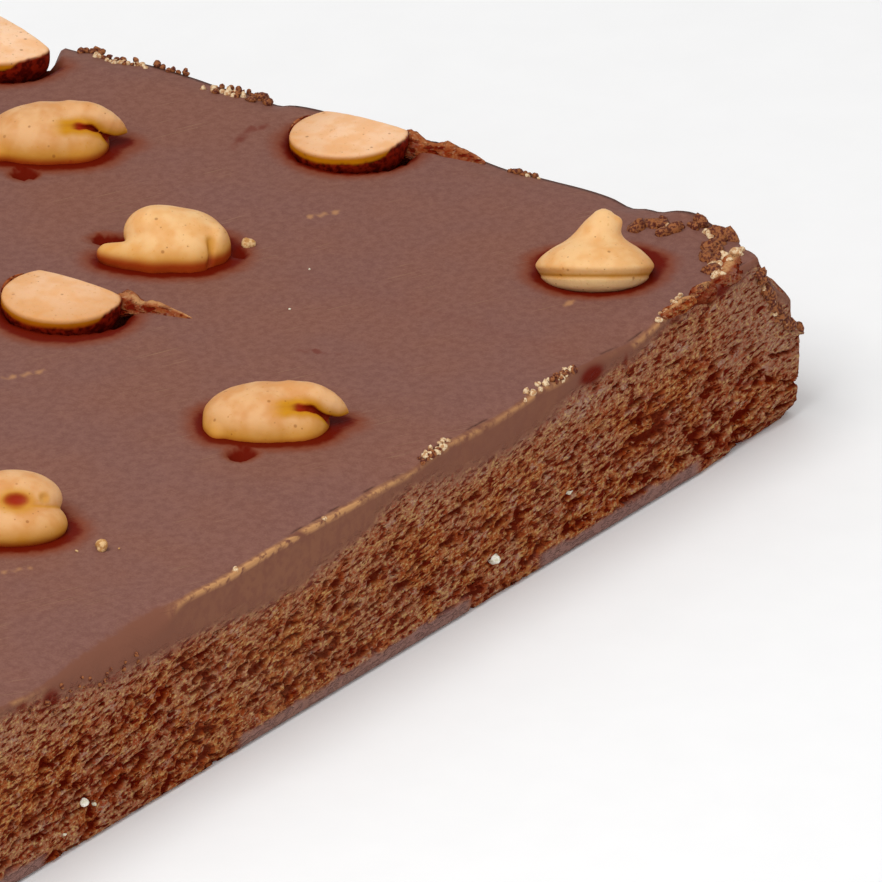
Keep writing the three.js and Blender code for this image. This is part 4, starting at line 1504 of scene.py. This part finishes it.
    def patch_darkness(self, x: Array, down: Array) -> Array:
        """How dark the front edge's dark spots make each place.

        Args:
            x: Places along the slab.
            down: How far they lie below its top.

        Returns:
            The strongest of the dark spots there; each is a bell in both directions.
        """
        total = np.zeros_like(x)
        for middle, level, wide, tall, strength in self.dark_patches:
            spot = np.exp(-((x - middle) / wide) ** 2 - ((down - level) / tall) ** 2)
            total = np.maximum(total, strength * smooth(spot * 1.6 - 0.1))
        return total

    def place(self, x: Array, y: Array, z: Array) -> tuple[Array, dict[str, Array]]:
        """Bend points of the sharp box onto the slab's skin.

        Args:
            x: Places on the box.
            y: The same, across.
            z: The same, up.

        Returns:
            The finished points, and the values to paint on them.
        """
        q = self.rounded(x, y, z)
        m = self.marks(q)
        share = self.break_share(q.x, q.y)
        # The coarse relief of the solids, flatter on the front, where the knife went straight.
        torn = smooth((q.z - self.skin_height * 0.6) / self.skin_height) * q.side
        kept = mix(0.7, self.relief_kept, m.on_front)
        swell = crumb_noise(q.along / self.crumb_length, q.z / self.crumb_rise, 11)
        back = self.crumb_relief * (0.25 * q.side + torn * kept * (swell - 0.25))
        ragged_edge = self.crumbled_edge * m.upper * crumb_noise(q.along / 2.6, 0.5, 21)
        back += ragged_edge * mix(0.55, 0.2, np.maximum(m.smear, 0.4 * m.on_front))
        rear = smooth((q.out_x - 0.5) / 0.2)
        back += rear * self.back_edge_loss * m.upper * (0.5 + 0.5 * noise(q.along / 9, 0.5, 31))
        back *= mix(0.35, 1.0, 1 - smooth(3 * share))
        # The crumb's grains and pores, the bits on the edge and the flake on the corner's ledge.
        pore = smooth((m.pores - 0.35) / 0.5)
        grains = wander(q.along / 0.6, q.z / 0.5, 81, self.grain_relief) * m.bare
        bits = wander(q.along / 0.7, q.z / 0.7, 83, self.bit_relief) * m.upper * (1 - m.smear)
        bits = bits * (1 - smooth(q.roll * 1.3))
        flake = self.flake_relief * bell(q.z - self.flake_height, 0.3) * smooth(4 * share - 2.4)
        # The foot of the front stands proud on its skin, and is worn away towards the corner.
        proud = self.foot_proud * smooth((2.6 - q.z) / 1.8) * m.on_front
        worn = self.foot_worn * np.clip((q.x - 48) / 14, 0, 1) * smooth((2.2 - q.z) / 2.0) * m.on_front
        back = np.maximum(back - proud, np.minimum(back, -0.02))
        back = back + worn + self.pore_depth * pore + grains + bits - flake - self.burr_rise * m.burr
        px, py = q.x - q.out_x * back, q.y - q.out_y * back
        top = self.top_height(px, py) - self.thickness
        pz = q.z + top * smooth(q.z / self.thickness * 4 - 2.6) + self.burr_rise * m.burr
        pz = pz * (1 - self.top_loss(px, py) / self.thickness)
        # Seats and pits.
        flat = q.roll >= 1
        depth, near = np.zeros_like(x), np.full_like(x, NO_CHIP_NEAR)
        depth[flat], near[flat] = self.seats(px[flat], py[flat])
        pz = pz - np.maximum(depth - self.bite_depth(px, py), 0) * smooth((q.inset - 0.1) / 0.6)
        paint = {"cut": m.cut * (1 - m.smear), "smear": m.smear, "burr": m.burr, "foot": m.foot, "seat": near,
                 "scuff": np.where(flat, self.scuffing(px, py), 0.0),
                 "dark_patch": self.patch_darkness(q.x, self.thickness - q.z) * m.on_front,
                 "pore": m.pores, "grey": np.maximum(m.grey, 0.75 * m.corner)}
        return np.stack([px, py, pz], -1), paint

    # ---- faces -------------------------------------------------------------------------------
    def build(self, finish: bpy.types.Material) -> bpy.types.Object:
        """Make the skin and put it in the place of the slab's solid.

        The front cut face and a strip of the top beside it have a fine grid. The other faces
        have coarser cells, and rows of triangles join the two.

        Args:
            finish: The fudge's material.

        Returns:
            The slab's piece.
        """
        half_l, half_w, top = self.length / 2, self.width / 2, self.thickness
        n, m = self.front_columns // 3, self.front_rows // 2
        fine_x, coarse_x = np.linspace(-half_l, half_l, 3 * n + 1), np.linspace(-half_l, half_l, n + 1)
        fine_z, coarse_z = np.linspace(0, top, 2 * m + 1), np.linspace(0, top, m + 1)
        strip = np.array((0.0,) + self.strip) - half_w
        rest = np.linspace(strip[-1], half_w, round((half_w - strip[-1]) * n / self.length) + 1)
        ys = np.concatenate([strip, rest[1:]])
        patches = SkinPatches()
        front = patches.grid(lambda a, b: (a, 0 * a - half_w, b), fine_x, fine_z)
        patches.quads(front)
        for sign in (1, -1):
            side = patches.grid(lambda a, b: (0 * a + sign * half_l, a, b), ys[1:], coarse_z)
            patches.quads(side if sign > 0 else side[::-1])
            edge = front[-1] if sign > 0 else front[0]
            patches.stitch(edge, side[0], 2, flip=sign < 0)
        rear = patches.grid(lambda a, b: (a, 0 * a + half_w, b), coarse_x[::-1], coarse_z)
        patches.quads(rear)
        shelf = patches.grid(lambda a, b: (a, b, 0 * a + top), fine_x, strip)
        patches.quads(shelf)
        crown = patches.grid(lambda a, b: (a, b, 0 * a + top), coarse_x, rest[1:])
        patches.quads(crown)
        patches.stitch(shelf[:, -1], crown[:, 0], 3, flip=True)
        middle = patches.grid(lambda a, b: (a, b, 0 * a), np.array([0.0]), np.array([0.0]))[0, 0]
        rim_right = patches.grid(lambda a, b: (0 * a + half_l, a, b), ys, np.array([0.0]))[:, 0]
        rim_left = patches.grid(lambda a, b: (0 * a - half_l, a, b), ys, np.array([0.0]))[:, 0]
        loop = np.concatenate([front[:-1, 0], rim_right[:-1], rear[:-1, 0], rim_left[:0:-1]])
        patches.fan(middle, loop)
        box, quads, triangles = patches.merged()
        points, paint = self.place(box[:, 0], box[:, 1], box[:, 2])
        under = box[:, 2] < 1e-6
        points[under, 2] = 0.0
        points[(np.abs(box[:, :2]).max(1) < 1e-6) & under, :2] = 0.0
        piece = make_mesh("fudge_slab_skin", points, quads, triangles, finish, paint)
        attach(piece, "root")
        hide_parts("fudge_slab")
        return piece


class SkinPatches:
    """Collects grids on a box and merges the vertices that they share."""

    def __init__(self) -> None:
        """Start with no patches."""
        self.rows: list[Array] = []
        self.count = 0
        self.square: list[Array] = []
        self.three: list[Array] = []

    def grid(self, place: Callable[[Array, Array], tuple[Array, Array, Array]], a: Array, b: Array) -> Array:
        """Add a grid of points.

        Args:
            place: Turns the two parameters into x, y and z on the box.
            a: First parameter's values.
            b: Second parameter's values.

        Returns:
            The points' numbers, one row for each value of a.
        """
        u, v = np.meshgrid(a, b, indexing="ij")
        x, y, z = place(u, v)
        self.rows.append(np.stack([x, y, z], -1).reshape(-1, 3))
        numbers = self.count + np.arange(u.size).reshape(u.shape)
        self.count += u.size
        return numbers

    def quads(self, n: Array) -> None:
        """Add the square faces of a grid of numbers, outward when a, b and out are right-handed."""
        self.square.append(np.stack([n[:-1, :-1], n[1:, :-1], n[1:, 1:], n[:-1, 1:]], -1).reshape(-1, 4))

    def stitch(self, fine: Array, coarse: Array, ratio: int, flip: bool = False) -> None:
        """Join a fine row to a coarse one with triangles.

        Args:
            fine: Numbers of the fine row.
            coarse: Numbers of the coarse row.
            ratio: How many fine cells go with each coarse cell.
            flip: Turn the triangles over.
        """
        p, q = coarse[:-1], coarse[1:]
        step = [fine[k:len(fine) - ratio + k:ratio] for k in range(ratio + 1)]
        faces = [np.stack([step[k], p, step[k + 1]], -1) for k in range(ratio - 1)]
        faces += [np.stack([step[-2], p, q], -1), np.stack([step[-2], q, step[-1]], -1)]
        total = np.concatenate(faces)
        self.three.append(total[:, ::-1] if flip else total)

    def fan(self, middle: int, loop: Array) -> None:
        """Close a loop, seen from above going round anticlockwise, with triangles facing down."""
        after = np.roll(loop, -1)
        self.three.append(np.stack([np.full_like(loop, middle), after, loop], -1))

    def merged(self) -> tuple[Array, Array, Array]:
        """Merge equal points.

        Returns:
            The points, the square faces and the triangles.
        """
        points = np.concatenate(self.rows)
        keys = np.round(points * 1e4).astype(np.int64)
        _, first, new = np.unique(keys, axis=0, return_index=True, return_inverse=True)
        new = new.reshape(-1)
        return points[first], new[np.concatenate(self.square)], new[np.concatenate(self.three)]


# ---- crumbs ----
def crumb_cloud(centres: Array, sizes: Array, seed: int) -> tuple[Array, Array]:
    """Lumpy crumbs: knocked-about icosahedra with their faces cut in four, one at each centre.

    Args:
        centres: Where they lie.
        sizes: Their radii along x, y and z.
        seed: Which knocks.

    Returns:
        All their points, and their triangles.
    """
    rng = np.random.default_rng(seed)
    g = (1 + math.sqrt(5)) / 2
    base = np.array([(-1, g, 0), (1, g, 0), (-1, -g, 0), (1, -g, 0), (0, -1, g), (0, 1, g),
                     (0, -1, -g), (0, 1, -g), (g, 0, -1), (g, 0, 1), (-g, 0, -1), (-g, 0, 1)])
    base = base / math.hypot(1, g)
    faces = np.array([(0, 11, 5), (0, 5, 1), (0, 1, 7), (0, 7, 10), (0, 10, 11), (1, 5, 9), (5, 11, 4),
                      (11, 10, 2), (10, 7, 6), (7, 1, 8), (3, 9, 4), (3, 4, 2), (3, 2, 6), (3, 6, 8),
                      (3, 8, 9), (4, 9, 5), (2, 4, 11), (6, 2, 10), (8, 6, 7), (9, 8, 1)])
    # Each face is cut into four at the middles of its edges.
    edges = np.sort(np.concatenate([faces[:, [0, 1]], faces[:, [1, 2]], faces[:, [2, 0]]]), axis=1)
    unique, which = np.unique(edges, axis=0, return_inverse=True)
    middles = base[unique].sum(axis=1)
    base = np.concatenate([base, middles / np.linalg.norm(middles, axis=1, keepdims=True)])
    ab, bc, ca = which.reshape(3, -1) + 12
    first, second, third = faces.T
    faces = np.concatenate([np.stack(corners, -1) for corners in (
        (first, ab, ca), (ab, second, bc), (ca, bc, third), (ab, bc, ca))])
    turn, _ = np.linalg.qr(rng.normal(size=(len(centres), 3, 3)))
    turn *= np.sign(np.linalg.det(turn))[:, None, None]
    waves = rng.normal(size=(len(centres), 3, 3)) * 2.2
    phase = rng.uniform(0, 2 * math.pi, (len(centres), 1, 3))
    knock = 1 + 0.14 * np.sin(np.einsum("kj,nij->nki", base, waves) + phase).sum(axis=-1, keepdims=True)
    knock = knock + rng.uniform(-0.08, 0.08, (len(centres), len(base), 1))
    points = np.einsum("nij,kj->nki", turn, base) * knock * sizes[:, None, :] + centres[:, None, :]
    numbers = faces[None] + len(base) * np.arange(len(centres))[:, None, None]
    return points.reshape(-1, 3), numbers.reshape(-1, 3)


@dataclass(frozen=True)
class CrumbPatch:
    """Crumbs strewn along a line on the slab's box, pressed onto its skin.

    Scatter is how far they stray along each axis, and proud is the share of a crumb's size by
    which one on the top is lifted.
    """

    start: Triple
    end: Triple
    count: int
    size: float
    scatter: Triple = (0.35, 0.35, 0.0)
    proud: float = 0.3


@dataclass(frozen=True)
class CrumbPiece:
    """All the crumbs of one kind, as one mesh."""

    name: str
    finish: CrumbFinish
    slot: str
    patches: tuple[CrumbPatch, ...]
    seed: int

    def build(self, skin: FudgeSkin) -> bpy.types.Object:
        """Strew the crumbs and make their mesh.

        Args:
            skin: The slab they lie on.

        Returns:
            The crumbs' piece.
        """
        rng = np.random.default_rng(self.seed)
        centres, sizes = [], []
        for patch in self.patches:
            t = (np.arange(patch.count)[:, None] + rng.uniform(0.2, 0.8, (patch.count, 1))) / patch.count
            box = mix(np.array(patch.start), np.array(patch.end), t)
            box = box + rng.normal(size=(patch.count, 3)) * np.array(patch.scatter)
            x = np.clip(box[:, 0], -skin.length / 2, skin.length / 2)
            y = np.clip(box[:, 1], -skin.width / 2, skin.width / 2)
            z = np.clip(box[:, 2], 0.3, skin.thickness)
            on_top = patch.start[2] >= skin.thickness
            points, _ = skin.place(x, y, z)
            size = patch.size * rng.uniform(0.6, 1.15, (patch.count, 1))
            size = size * rng.uniform(0.7, 1.2, (patch.count, 3))
            points[:, 2] += patch.proud * size[:, 2] * on_top
            points[:, 1] -= 0.0 if on_top else 0.2 * patch.size
            # None reaches below the foot, or out of the slab's plan by more than a little.
            rise = size.max(axis=1) * 1.2
            points[:, 2] = np.maximum(points[:, 2], rise)
            edge = np.array((skin.length / 2, skin.width / 2))
            rise = rise * (1.0 if on_top else 0.35)
            points[:, :2] = np.clip(points[:, :2], -edge + rise[:, None], edge - rise[:, None])
            centres.append(points)
            sizes.append(size)
        points, faces = crumb_cloud(np.concatenate(centres), np.concatenate(sizes), self.seed + 1)
        piece = make_mesh(self.name, points, np.zeros((0, 4)), faces, self.finish.build())
        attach(piece, "root")
        return piece


@dataclass(frozen=True)
class TornRidge:
    """A ragged ridge of fudge pushed up by the knife: a lumpy tube that thins at both ends.

    Wide and tall are its half width and height by the share of its length. Lean is how far its
    crest hangs over, dark and crest how much painted shade darkens its lower sides and how much
    painted highlight lightens its crest.
    """

    name: str
    path: tuple[Triple, ...]
    wide: Knots
    tall: Knots
    seed: float
    lean: float = 0.0
    dark: float = 0.8
    crest: float = 0.9
    ragged: float = 0.8
    rings: int = 90
    around: int = 32

    def build(self, finish: bpy.types.Material) -> bpy.types.Object:
        """Carry a lumpy ellipse along the path.

        Args:
            finish: The fudge's material.

        Returns:
            The ridge's piece. Its crest leans sideways and has a painted highlight; its lower parts have
            painted shade.
        """
        path = np.array(self.path, float)
        t = np.linspace(0, 1, self.rings + 2)
        knots = np.linspace(0, 1, len(path))
        line = np.stack([course(t, list(zip(knots, path[:, k]))) for k in range(3)], -1)
        length = np.linalg.norm(np.diff(path, axis=0), axis=1).sum()
        along = np.gradient(line, axis=0)
        side = np.stack([-along[:, 1], along[:, 0], 0 * t], -1)
        side /= np.maximum(np.linalg.norm(side, axis=1, keepdims=True), 1e-9)
        angle = 2 * math.pi * np.arange(self.around) / self.around
        s = t[:, None] * length + 0 * angle
        swell = np.sqrt(np.clip(1 - (2 * t - 1) ** 4, 0, 1))[:, None]
        u, v = 1.1 * np.cos(angle)[None], 1.1 * np.sin(angle)[None]
        lumps = 1 + wander(s / 1.2 + u, v + self.seed, self.seed, self.ragged) * 1.5
        lumps = lumps + wander(s / 0.4 + u * 2, v * 2, self.seed + 3, 0.3 * self.ragged)
        across = course(t, self.wide)[:, None] * swell * lumps * np.cos(angle)
        rise = course(t, self.tall)[:, None] * swell * lumps * np.sin(angle)
        across = across + self.lean * np.maximum(rise, 0)
        grid = line[:, None] + side[:, None] * across[..., None] + np.array([0, 0, 1.0]) * rise[..., None]
        points = np.concatenate([line[:1], line[-1:], grid[1:-1].reshape(-1, 3)])
        quads, caps = ring_faces(self.rings, self.around)
        up = np.concatenate([[0, 0], np.broadcast_to(np.sin(angle), lumps.shape)[1:-1].ravel()])
        zero = np.zeros(len(points))
        paint = {key: zero + value for key, value in BARE_PAINT.items()}
        paint["cut"] = zero + 1
        late = np.concatenate([[0, 1], np.broadcast_to(t[:, None], lumps.shape)[1:-1].ravel()])
        # Painted highlight on the crest, painted shade on the lower sides.
        paint["burr"] = self.crest * smooth((up - 0.86) / 0.12) * mix(0.35, 1.0, smooth((late - 0.15) / 0.2))
        paint["dark_patch"] = self.dark * smooth((0.97 - up) / 0.2) * mix(1.0, 0.5, late)
        paint["pore"] = 0.35 * np.abs(up)
        piece = make_mesh(self.name, points, quads[:, ::-1], caps[:, ::-1], finish, paint)
        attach(piece, "root")
        return piece


def rim_path(chip: BakingChip, start: float, end: float, radius: float, rise: float, count: int = 7,
             ) -> tuple[Triple, ...]:
    """Places along a cut chip's rim.

    Args:
        chip: The chip.
        start: First bearing round the chip's middle, in degrees from +X.
        end: Last bearing.
        radius: Distance from the middle in millimetres.
        rise: Height in the chip's own frame.
        count: How many places.

    Returns:
        The places in the slab's frame.
    """
    move = chip.frame()
    bearings = np.radians(np.linspace(start, end, count))
    places = [Vector((radius * math.cos(b), radius * math.sin(b), rise)) for b in bearings]
    return tuple(tuple(move @ place) for place in places)


RIDGE_LEVEL = FudgeSkin.thickness - 0.35
RIDGES = (
    TornRidge("torn_ridge_inner",
              ((19.3, -6.6, RIDGE_LEVEL), (19.7, -8.6, RIDGE_LEVEL), (19.9, -10.6, RIDGE_LEVEL),
               (20.4, -14.2, RIDGE_LEVEL)),
              ((0, 1.3), (0.35, 1.1), (0.7, 0.6), (1, 0.3)),
              ((0, 0.9), (0.15, 1.25), (0.4, 0.55), (0.6, 0.75), (0.8, 0.6), (1, 0.3)),
              11, lean=0.5, ragged=0.45),
    TornRidge("torn_ridge_edge",
              ((59.2, -7.0, RIDGE_LEVEL), (59.6, -9.4, RIDGE_LEVEL), (60.0, -12.0, RIDGE_LEVEL),
               (60.6, -15.4, RIDGE_LEVEL)),
              ((0, 1.4), (0.4, 1.1), (0.8, 0.8), (1, 0.4)),
              ((0, 0.9), (0.15, 1.35), (0.4, 0.65), (0.62, 1.0), (1, 0.4)),
              12, lean=0.5, crest=0.3, ragged=0.5),
    TornRidge("burr_crust_near", ((43.2, -45.5, 16.0), (45.4, -45.5, 16.0), (47.6, -45.6, 16.0)),
              ((0, 0.4), (0.5, 0.6), (1, 0.45)), ((0, 0.4), (0.5, 0.65), (1, 0.5)),
              14, crest=1.0, dark=0.3, ragged=0.9),
    TornRidge("burr_crust_dark", ((47.4, -45.5, 15.9), (49.2, -45.4, 15.9), (50.8, -45.1, 15.9)),
              ((0, 0.5), (0.5, 0.9), (1, 0.6)), ((0, 0.5), (0.5, 0.9), (1, 0.6)),
              15, crest=0.9, dark=0.9, ragged=1.0),
    TornRidge("burr_crust_far",
              ((50.8, -45.1, 15.9), (53.4, -44.8, 15.8), (55.6, -44.0, 15.6), (57.2, -43.2, 15.3)),
              ((0, 0.5), (0.3, 0.9), (0.7, 0.8), (1, 0.5)), ((0, 0.5), (0.3, 0.8), (0.7, 0.9), (1, 0.5)),
              16, crest=1.0, dark=0.5, ragged=0.9),
)
# The cut chips that have a thin lip of skin along the far side of their rim.
LIPPED_CHIPS = ("chip_04", "chip_06")

# Loose and clinging crumbs, by kind: where they lie, how many and how large.
DARK_CRUMB = CrumbFinish("dark_fudge_crumb", "561e0b", "93572c", 0.25)
PALE_CRUMB = CrumbFinish("pale_sugar_crumb", "b98a5e", "e0c6a0", 0.3)
TAN_CRUMB = CrumbFinish("tan_loose_crumb", "b8844a", "d9b27e", 0.4)
WHITE_SPECK = CrumbFinish("white_sugar_speck", "d8d2b8", "f4f0e4", 0.4)
DARK_CRUMBS = CrumbPiece("dark_fudge_crumbs", DARK_CRUMB, "fudge", (
    CrumbPatch((9.2, -45.8, 16.2), (11.0, -45.8, 16.2), 12, 0.30),
    CrumbPatch((27.6, -45.8, 16.2), (30.2, -45.8, 16.2), 14, 0.32),
    CrumbPatch((47.2, -45.7, 16.2), (50.0, -45.6, 16.2), 16, 0.34),
    CrumbPatch((-46.5, -46.0, 15.2), (-31.0, -46.0, 13.6), 22, 0.22, (0.6, 0, 0.5)),
    CrumbPatch((53.5, -43.8, 16.2), (60.0, -39.5, 16.2), 18, 0.74, (0.6, 0.5, 0), -0.1),
    CrumbPatch((58.9, -41.0, 16.2), (60.6, -36.8, 16.2), 13, 0.78, (0.4, 0.5, 0), -0.1),
    CrumbPatch((57.4, -33.4, 16.2), (58.6, -37.4, 16.2), 9, 0.78, (0.5, 0.3, 0), -0.1),
    CrumbPatch((57.2, -46.0, 15.2), (61.6, -46.0, 12.0), 34, 0.55, (0.3, 0, 0.35), 0.0),
    CrumbPatch((62.6, -45.6, 12.0), (62.8, -43.0, 11.0), 14, 0.45, (0.1, 0.5, 0.3), 0.0),
    CrumbPatch((61.2, 27.0, 16.2), (61.6, 20.5, 16.2), 18, 0.32, (0.3, 0.6, 0)),
    CrumbPatch((61.3, 18.5, 16.2), (61.4, 16.0, 16.2), 8, 0.3, (0.3, 0.4, 0)),
    CrumbPatch((60.2, 12.0, 16.2), (60.8, 7.5, 16.2), 20, 0.38, (0.5, 0.5, 0)),
    CrumbPatch((60.9, -18.0, 16.2), (61.1, -20.2, 16.2), 7, 0.33, (0.2, 0.3, 0)),
    CrumbPatch((-22.8, -18.6, 16.2), (-20.8, -18.2, 16.2), 5, 0.32, (0.3, 0.2, 0)),
), 5)
PALE_CRUMBS = CrumbPiece("pale_sugar_crumbs", PALE_CRUMB, "fudge", (
    CrumbPatch((9.4, -45.7, 16.2), (12.8, -45.5, 16.2), 16, 0.32, (0.3, 0.25, 0), 0.1),
    CrumbPatch((27.8, -45.6, 16.2), (30.4, -45.6, 16.2), 10, 0.30, (0.3, 0.25, 0), 0.1),
    CrumbPatch((24.0, -45.5, 16.2), (27.2, -45.4, 16.2), 12, 0.26, (0.4, 0.35, 0)),
    CrumbPatch((43.0, -45.3, 16.2), (46.8, -45.0, 16.2), 14, 0.28, (0.5, 0.4, 0)),
    CrumbPatch((51.5, -44.8, 16.2), (57.0, -43.2, 16.2), 24, 0.48, (0.5, 0.35, 0), 0.15),
    CrumbPatch((57.4, -46.0, 14.8), (60.6, -46.0, 12.6), 10, 0.34, (0.3, 0, 0.3), 0.0),
    CrumbPatch((58.8, -40.6, 16.2), (59.6, -38.6, 16.2), 8, 0.45, (0.4, 0.4, 0), 0.1),
    CrumbPatch((57.6, -34.6, 16.2), (57.9, -36.6, 16.2), 6, 0.26, (0.2, 0.2, 0)),
    CrumbPatch((-17.8, -45.7, 16.2), (-17.2, -45.7, 16.2), 3, 0.20, (0.2, 0.1, 0)),
    CrumbPatch((-5.6, -45.8, 16.2), (-5.0, -45.8, 16.2), 3, 0.22, (0.2, 0.1, 0)),
    CrumbPatch((60.2, 25.0, 16.2), (60.6, 19.5, 16.2), 18, 0.32, (0.25, 0.6, 0), 0.1),
    CrumbPatch((59.6, 12.6, 16.2), (60.3, 8.8, 16.2), 16, 0.38, (0.4, 0.5, 0), 0.1),
    CrumbPatch((60.6, -19.6, 16.2), (60.8, -20.8, 16.2), 3, 0.24, (0.1, 0.3, 0)),
), 8)
TAN_CRUMBS = CrumbPiece("tan_loose_crumb", TAN_CRUMB, "fudge", (
    CrumbPatch((-21.5, -34.9, 16.2), (-20.9, -34.5, 16.2), 4, 0.45, (0.2, 0.2, 0), 0.6),
    CrumbPatch((34.9, -8.9, 16.2), (35.5, -9.0, 16.2), 2, 0.5, (0.1, 0.1, 0), 0.3),
    CrumbPatch((-22.6, -33.4, 16.2), (-22.4, -33.2, 16.2), 1, 0.16, (0, 0, 0), 0.5),
    CrumbPatch((-20.2, -35.8, 16.2), (-20.0, -36.0, 16.2), 1, 0.16, (0, 0, 0), 0.5),
), 13)
WHITE_SPECKS = CrumbPiece("white_sugar_specks", WHITE_SPECK, "fudge", (
    CrumbPatch((29.7, -46.0, 5.2), (29.7, -46.0, 5.2), 1, 0.42, (0, 0, 0)),
    CrumbPatch((18.6, -46.0, 3.2), (18.6, -46.0, 3.2), 1, 0.42, (0, 0, 0)),
    CrumbPatch((-38.9, -46.0, 3.5), (-38.9, -46.0, 3.5), 1, 0.5, (0, 0, 0)),
    CrumbPatch((-41.8, -46.0, 1.8), (-41.8, -46.0, 1.8), 1, 0.24, (0, 0, 0)),
    CrumbPatch((-37.2, -46.0, 2.9), (-37.8, -46.0, 2.6), 3, 0.17, (0.2, 0, 0.2)),
    CrumbPatch((46.5, -10.5, 16.2), (13.5, -25.3, 16.2), 2, 0.16, (0.1, 0.1, 0)),
), 21)


# ---- set, light and camera ----
@dataclass(frozen=True)
class Studio:
    """A pale floor, soft light from above and in front, and a long lens far off.

    Aim and distance are in millimetres. Key and fill are the softboxes' azimuth and elevation in
    degrees, side in millimetres and power in watts; both hang at lamp_distance, in metres.
    """

    azimuth: float = -54.8908
    elevation: float = 24.4877
    aim: Triple = (12.0707, -44.9834, 16.2)
    distance: float = 2000.2556
    lens: float = 1000.0
    sensor: float = 36.0
    clip: tuple[float, float] = (0.05, 50.0)
    floor_size: float = 3000.0
    floor_drop: float = 0.05
    floor_colour: str = "f2f2f2"
    floor_tint: str = "f6f6f6"
    key: tuple[float, ...] = (-95.0, 58.0, 600.0, 4.6)
    fill: tuple[float, ...] = (-30.0, 35.0, 900.0, 1.6)
    lamp_distance: float = 0.9
    tent_strength: float = 0.60

    def direction(self, azimuth: float, elevation: float) -> Vector:
        """The way from the object to something at an azimuth and elevation in degrees."""
        a, e = math.radians(azimuth), math.radians(elevation)
        return Vector((math.sin(a) * math.cos(e), -math.cos(a) * math.cos(e), math.sin(e)))

    def floor(self) -> bpy.types.Object:
        """Make the floor, a square that only the stage uses.

        Returns:
            The floor's object.
        """
        c = Canvas("matt_white_board")
        tint = c.blend(c.grain(6.0, 2.0), linear(self.floor_colour), linear(self.floor_tint))
        c.feed(Base_Color=tint, Roughness=0.8, Specular_IOR_Level=0.1)
        h, z = self.floor_size / 2, -self.floor_drop
        corners = np.array([(-h, -h, z), (h, -h, z), (h, h, z), (-h, h, z)])
        board = make_mesh("floor_board", corners, np.array([[0, 1, 2, 3]]), np.zeros((0, 3)), c.material)
        return board

    def softbox(self, name: str, azimuth: float, elevation: float, size: float, watts: float) -> None:
        """Hang a square softbox that faces the slab.

        Args:
            name: Light's name.
            azimuth: Its bearing in degrees, as for the camera.
            elevation: Its height in degrees.
            size: Its side in millimetres.
            watts: Its power.
        """
        light = bpy.data.lights.new(name, "AREA")
        light.shape, light.size, light.energy = "SQUARE", size * MM, watts
        lamp = bpy.data.objects.new(name, light)
        way = self.direction(azimuth, elevation)
        lamp.location = way * self.lamp_distance
        lamp.rotation_euler = way.to_track_quat("Z", "Y").to_euler()
        bpy.context.scene.collection.objects.link(lamp)

    def camera(self) -> bpy.types.Object:
        """Set up the camera.

        Returns:
            The scene's camera.
        """
        data = bpy.data.cameras.new("long_lens")
        data.lens, data.sensor_width = self.lens, self.sensor
        data.clip_start, data.clip_end = self.clip
        eye = bpy.data.objects.new("long_lens", data)
        back = self.direction(self.azimuth, self.elevation)
        eye.location = (Vector(self.aim) + back * self.distance) * MM
        eye.rotation_euler = back.to_track_quat("Z", "Y").to_euler()
        bpy.context.scene.collection.objects.link(eye)
        bpy.context.scene.camera = eye
        return eye

    def build(self) -> None:
        """Light the scene and set the floor and the camera."""
        self.camera()
        self.floor()
        self.softbox("key_softbox", *self.key)
        self.softbox("fill_softbox", *self.fill)
        world = bpy.data.worlds.new("white_tent")
        world.use_nodes = True
        tent = world.node_tree.nodes["Background"]
        tent.inputs["Color"].default_value = (1, 1, 1, 1)
        tent.inputs["Strength"].default_value = self.tent_strength
        bpy.context.scene.world = world
        bpy.context.scene.view_settings.view_transform = "Standard"


def main() -> None:
    """Build every piece in order and report it."""
    logging.basicConfig(level=logging.INFO, format="%(name)s: %(message)s")
    Studio().build()
    fudge = FudgeFinish().build()
    creamy = ChipFinish().build()
    # The fallen and slumped drops take a darker copy of the confection, and the cut drops a paler one.
    darker_tone = ChipFinish("peanut_butter_confection_toasted", "d0935a", "dca976").build()
    face = ChipFinish("peanut_butter_confection_face", "f4be8e", "facfa9", ochre="bf7606").build()
    confection = {Form.UPRIGHT: creamy, Form.CURLED: creamy, Form.SLUMPED: darker_tone, Form.FALLEN: darker_tone,
                  Form.CUT: face}
    skin = FudgeSkin()
    pieces = [skin.build(fudge)]
    pieces += [chip.build(confection) for chip in CHIPS]
    pieces += [ridge.build(fudge) for ridge in RIDGES]
    for chip in CHIPS:
        if chip.node in LIPPED_CHIPS:
            path = rim_path(chip, 74.0, 116.0, 5.12, 0.55)
            # Each lip has painted shade on its sides and a faint painted highlight on its crest.
            lip = TornRidge("skin_lip_" + chip.node[-2:], path, ((0, 0.12), (0.5, 0.24), (1, 0.1)),
                            ((0, 0.3), (0.5, 0.4), (1, 0.2)), 17, ragged=0.4, crest=0.2, dark=0.7)
            pieces.append(lip.build(fudge))
    pieces += [crumbs.build(skin) for crumbs in (DARK_CRUMBS, PALE_CRUMBS, TAN_CRUMBS, WHITE_SPECKS)]
    for piece in pieces:
        LOG.info("%s: %d faces", piece.name, len(piece.data.polygons))


if __name__ == "__main__":
    main()
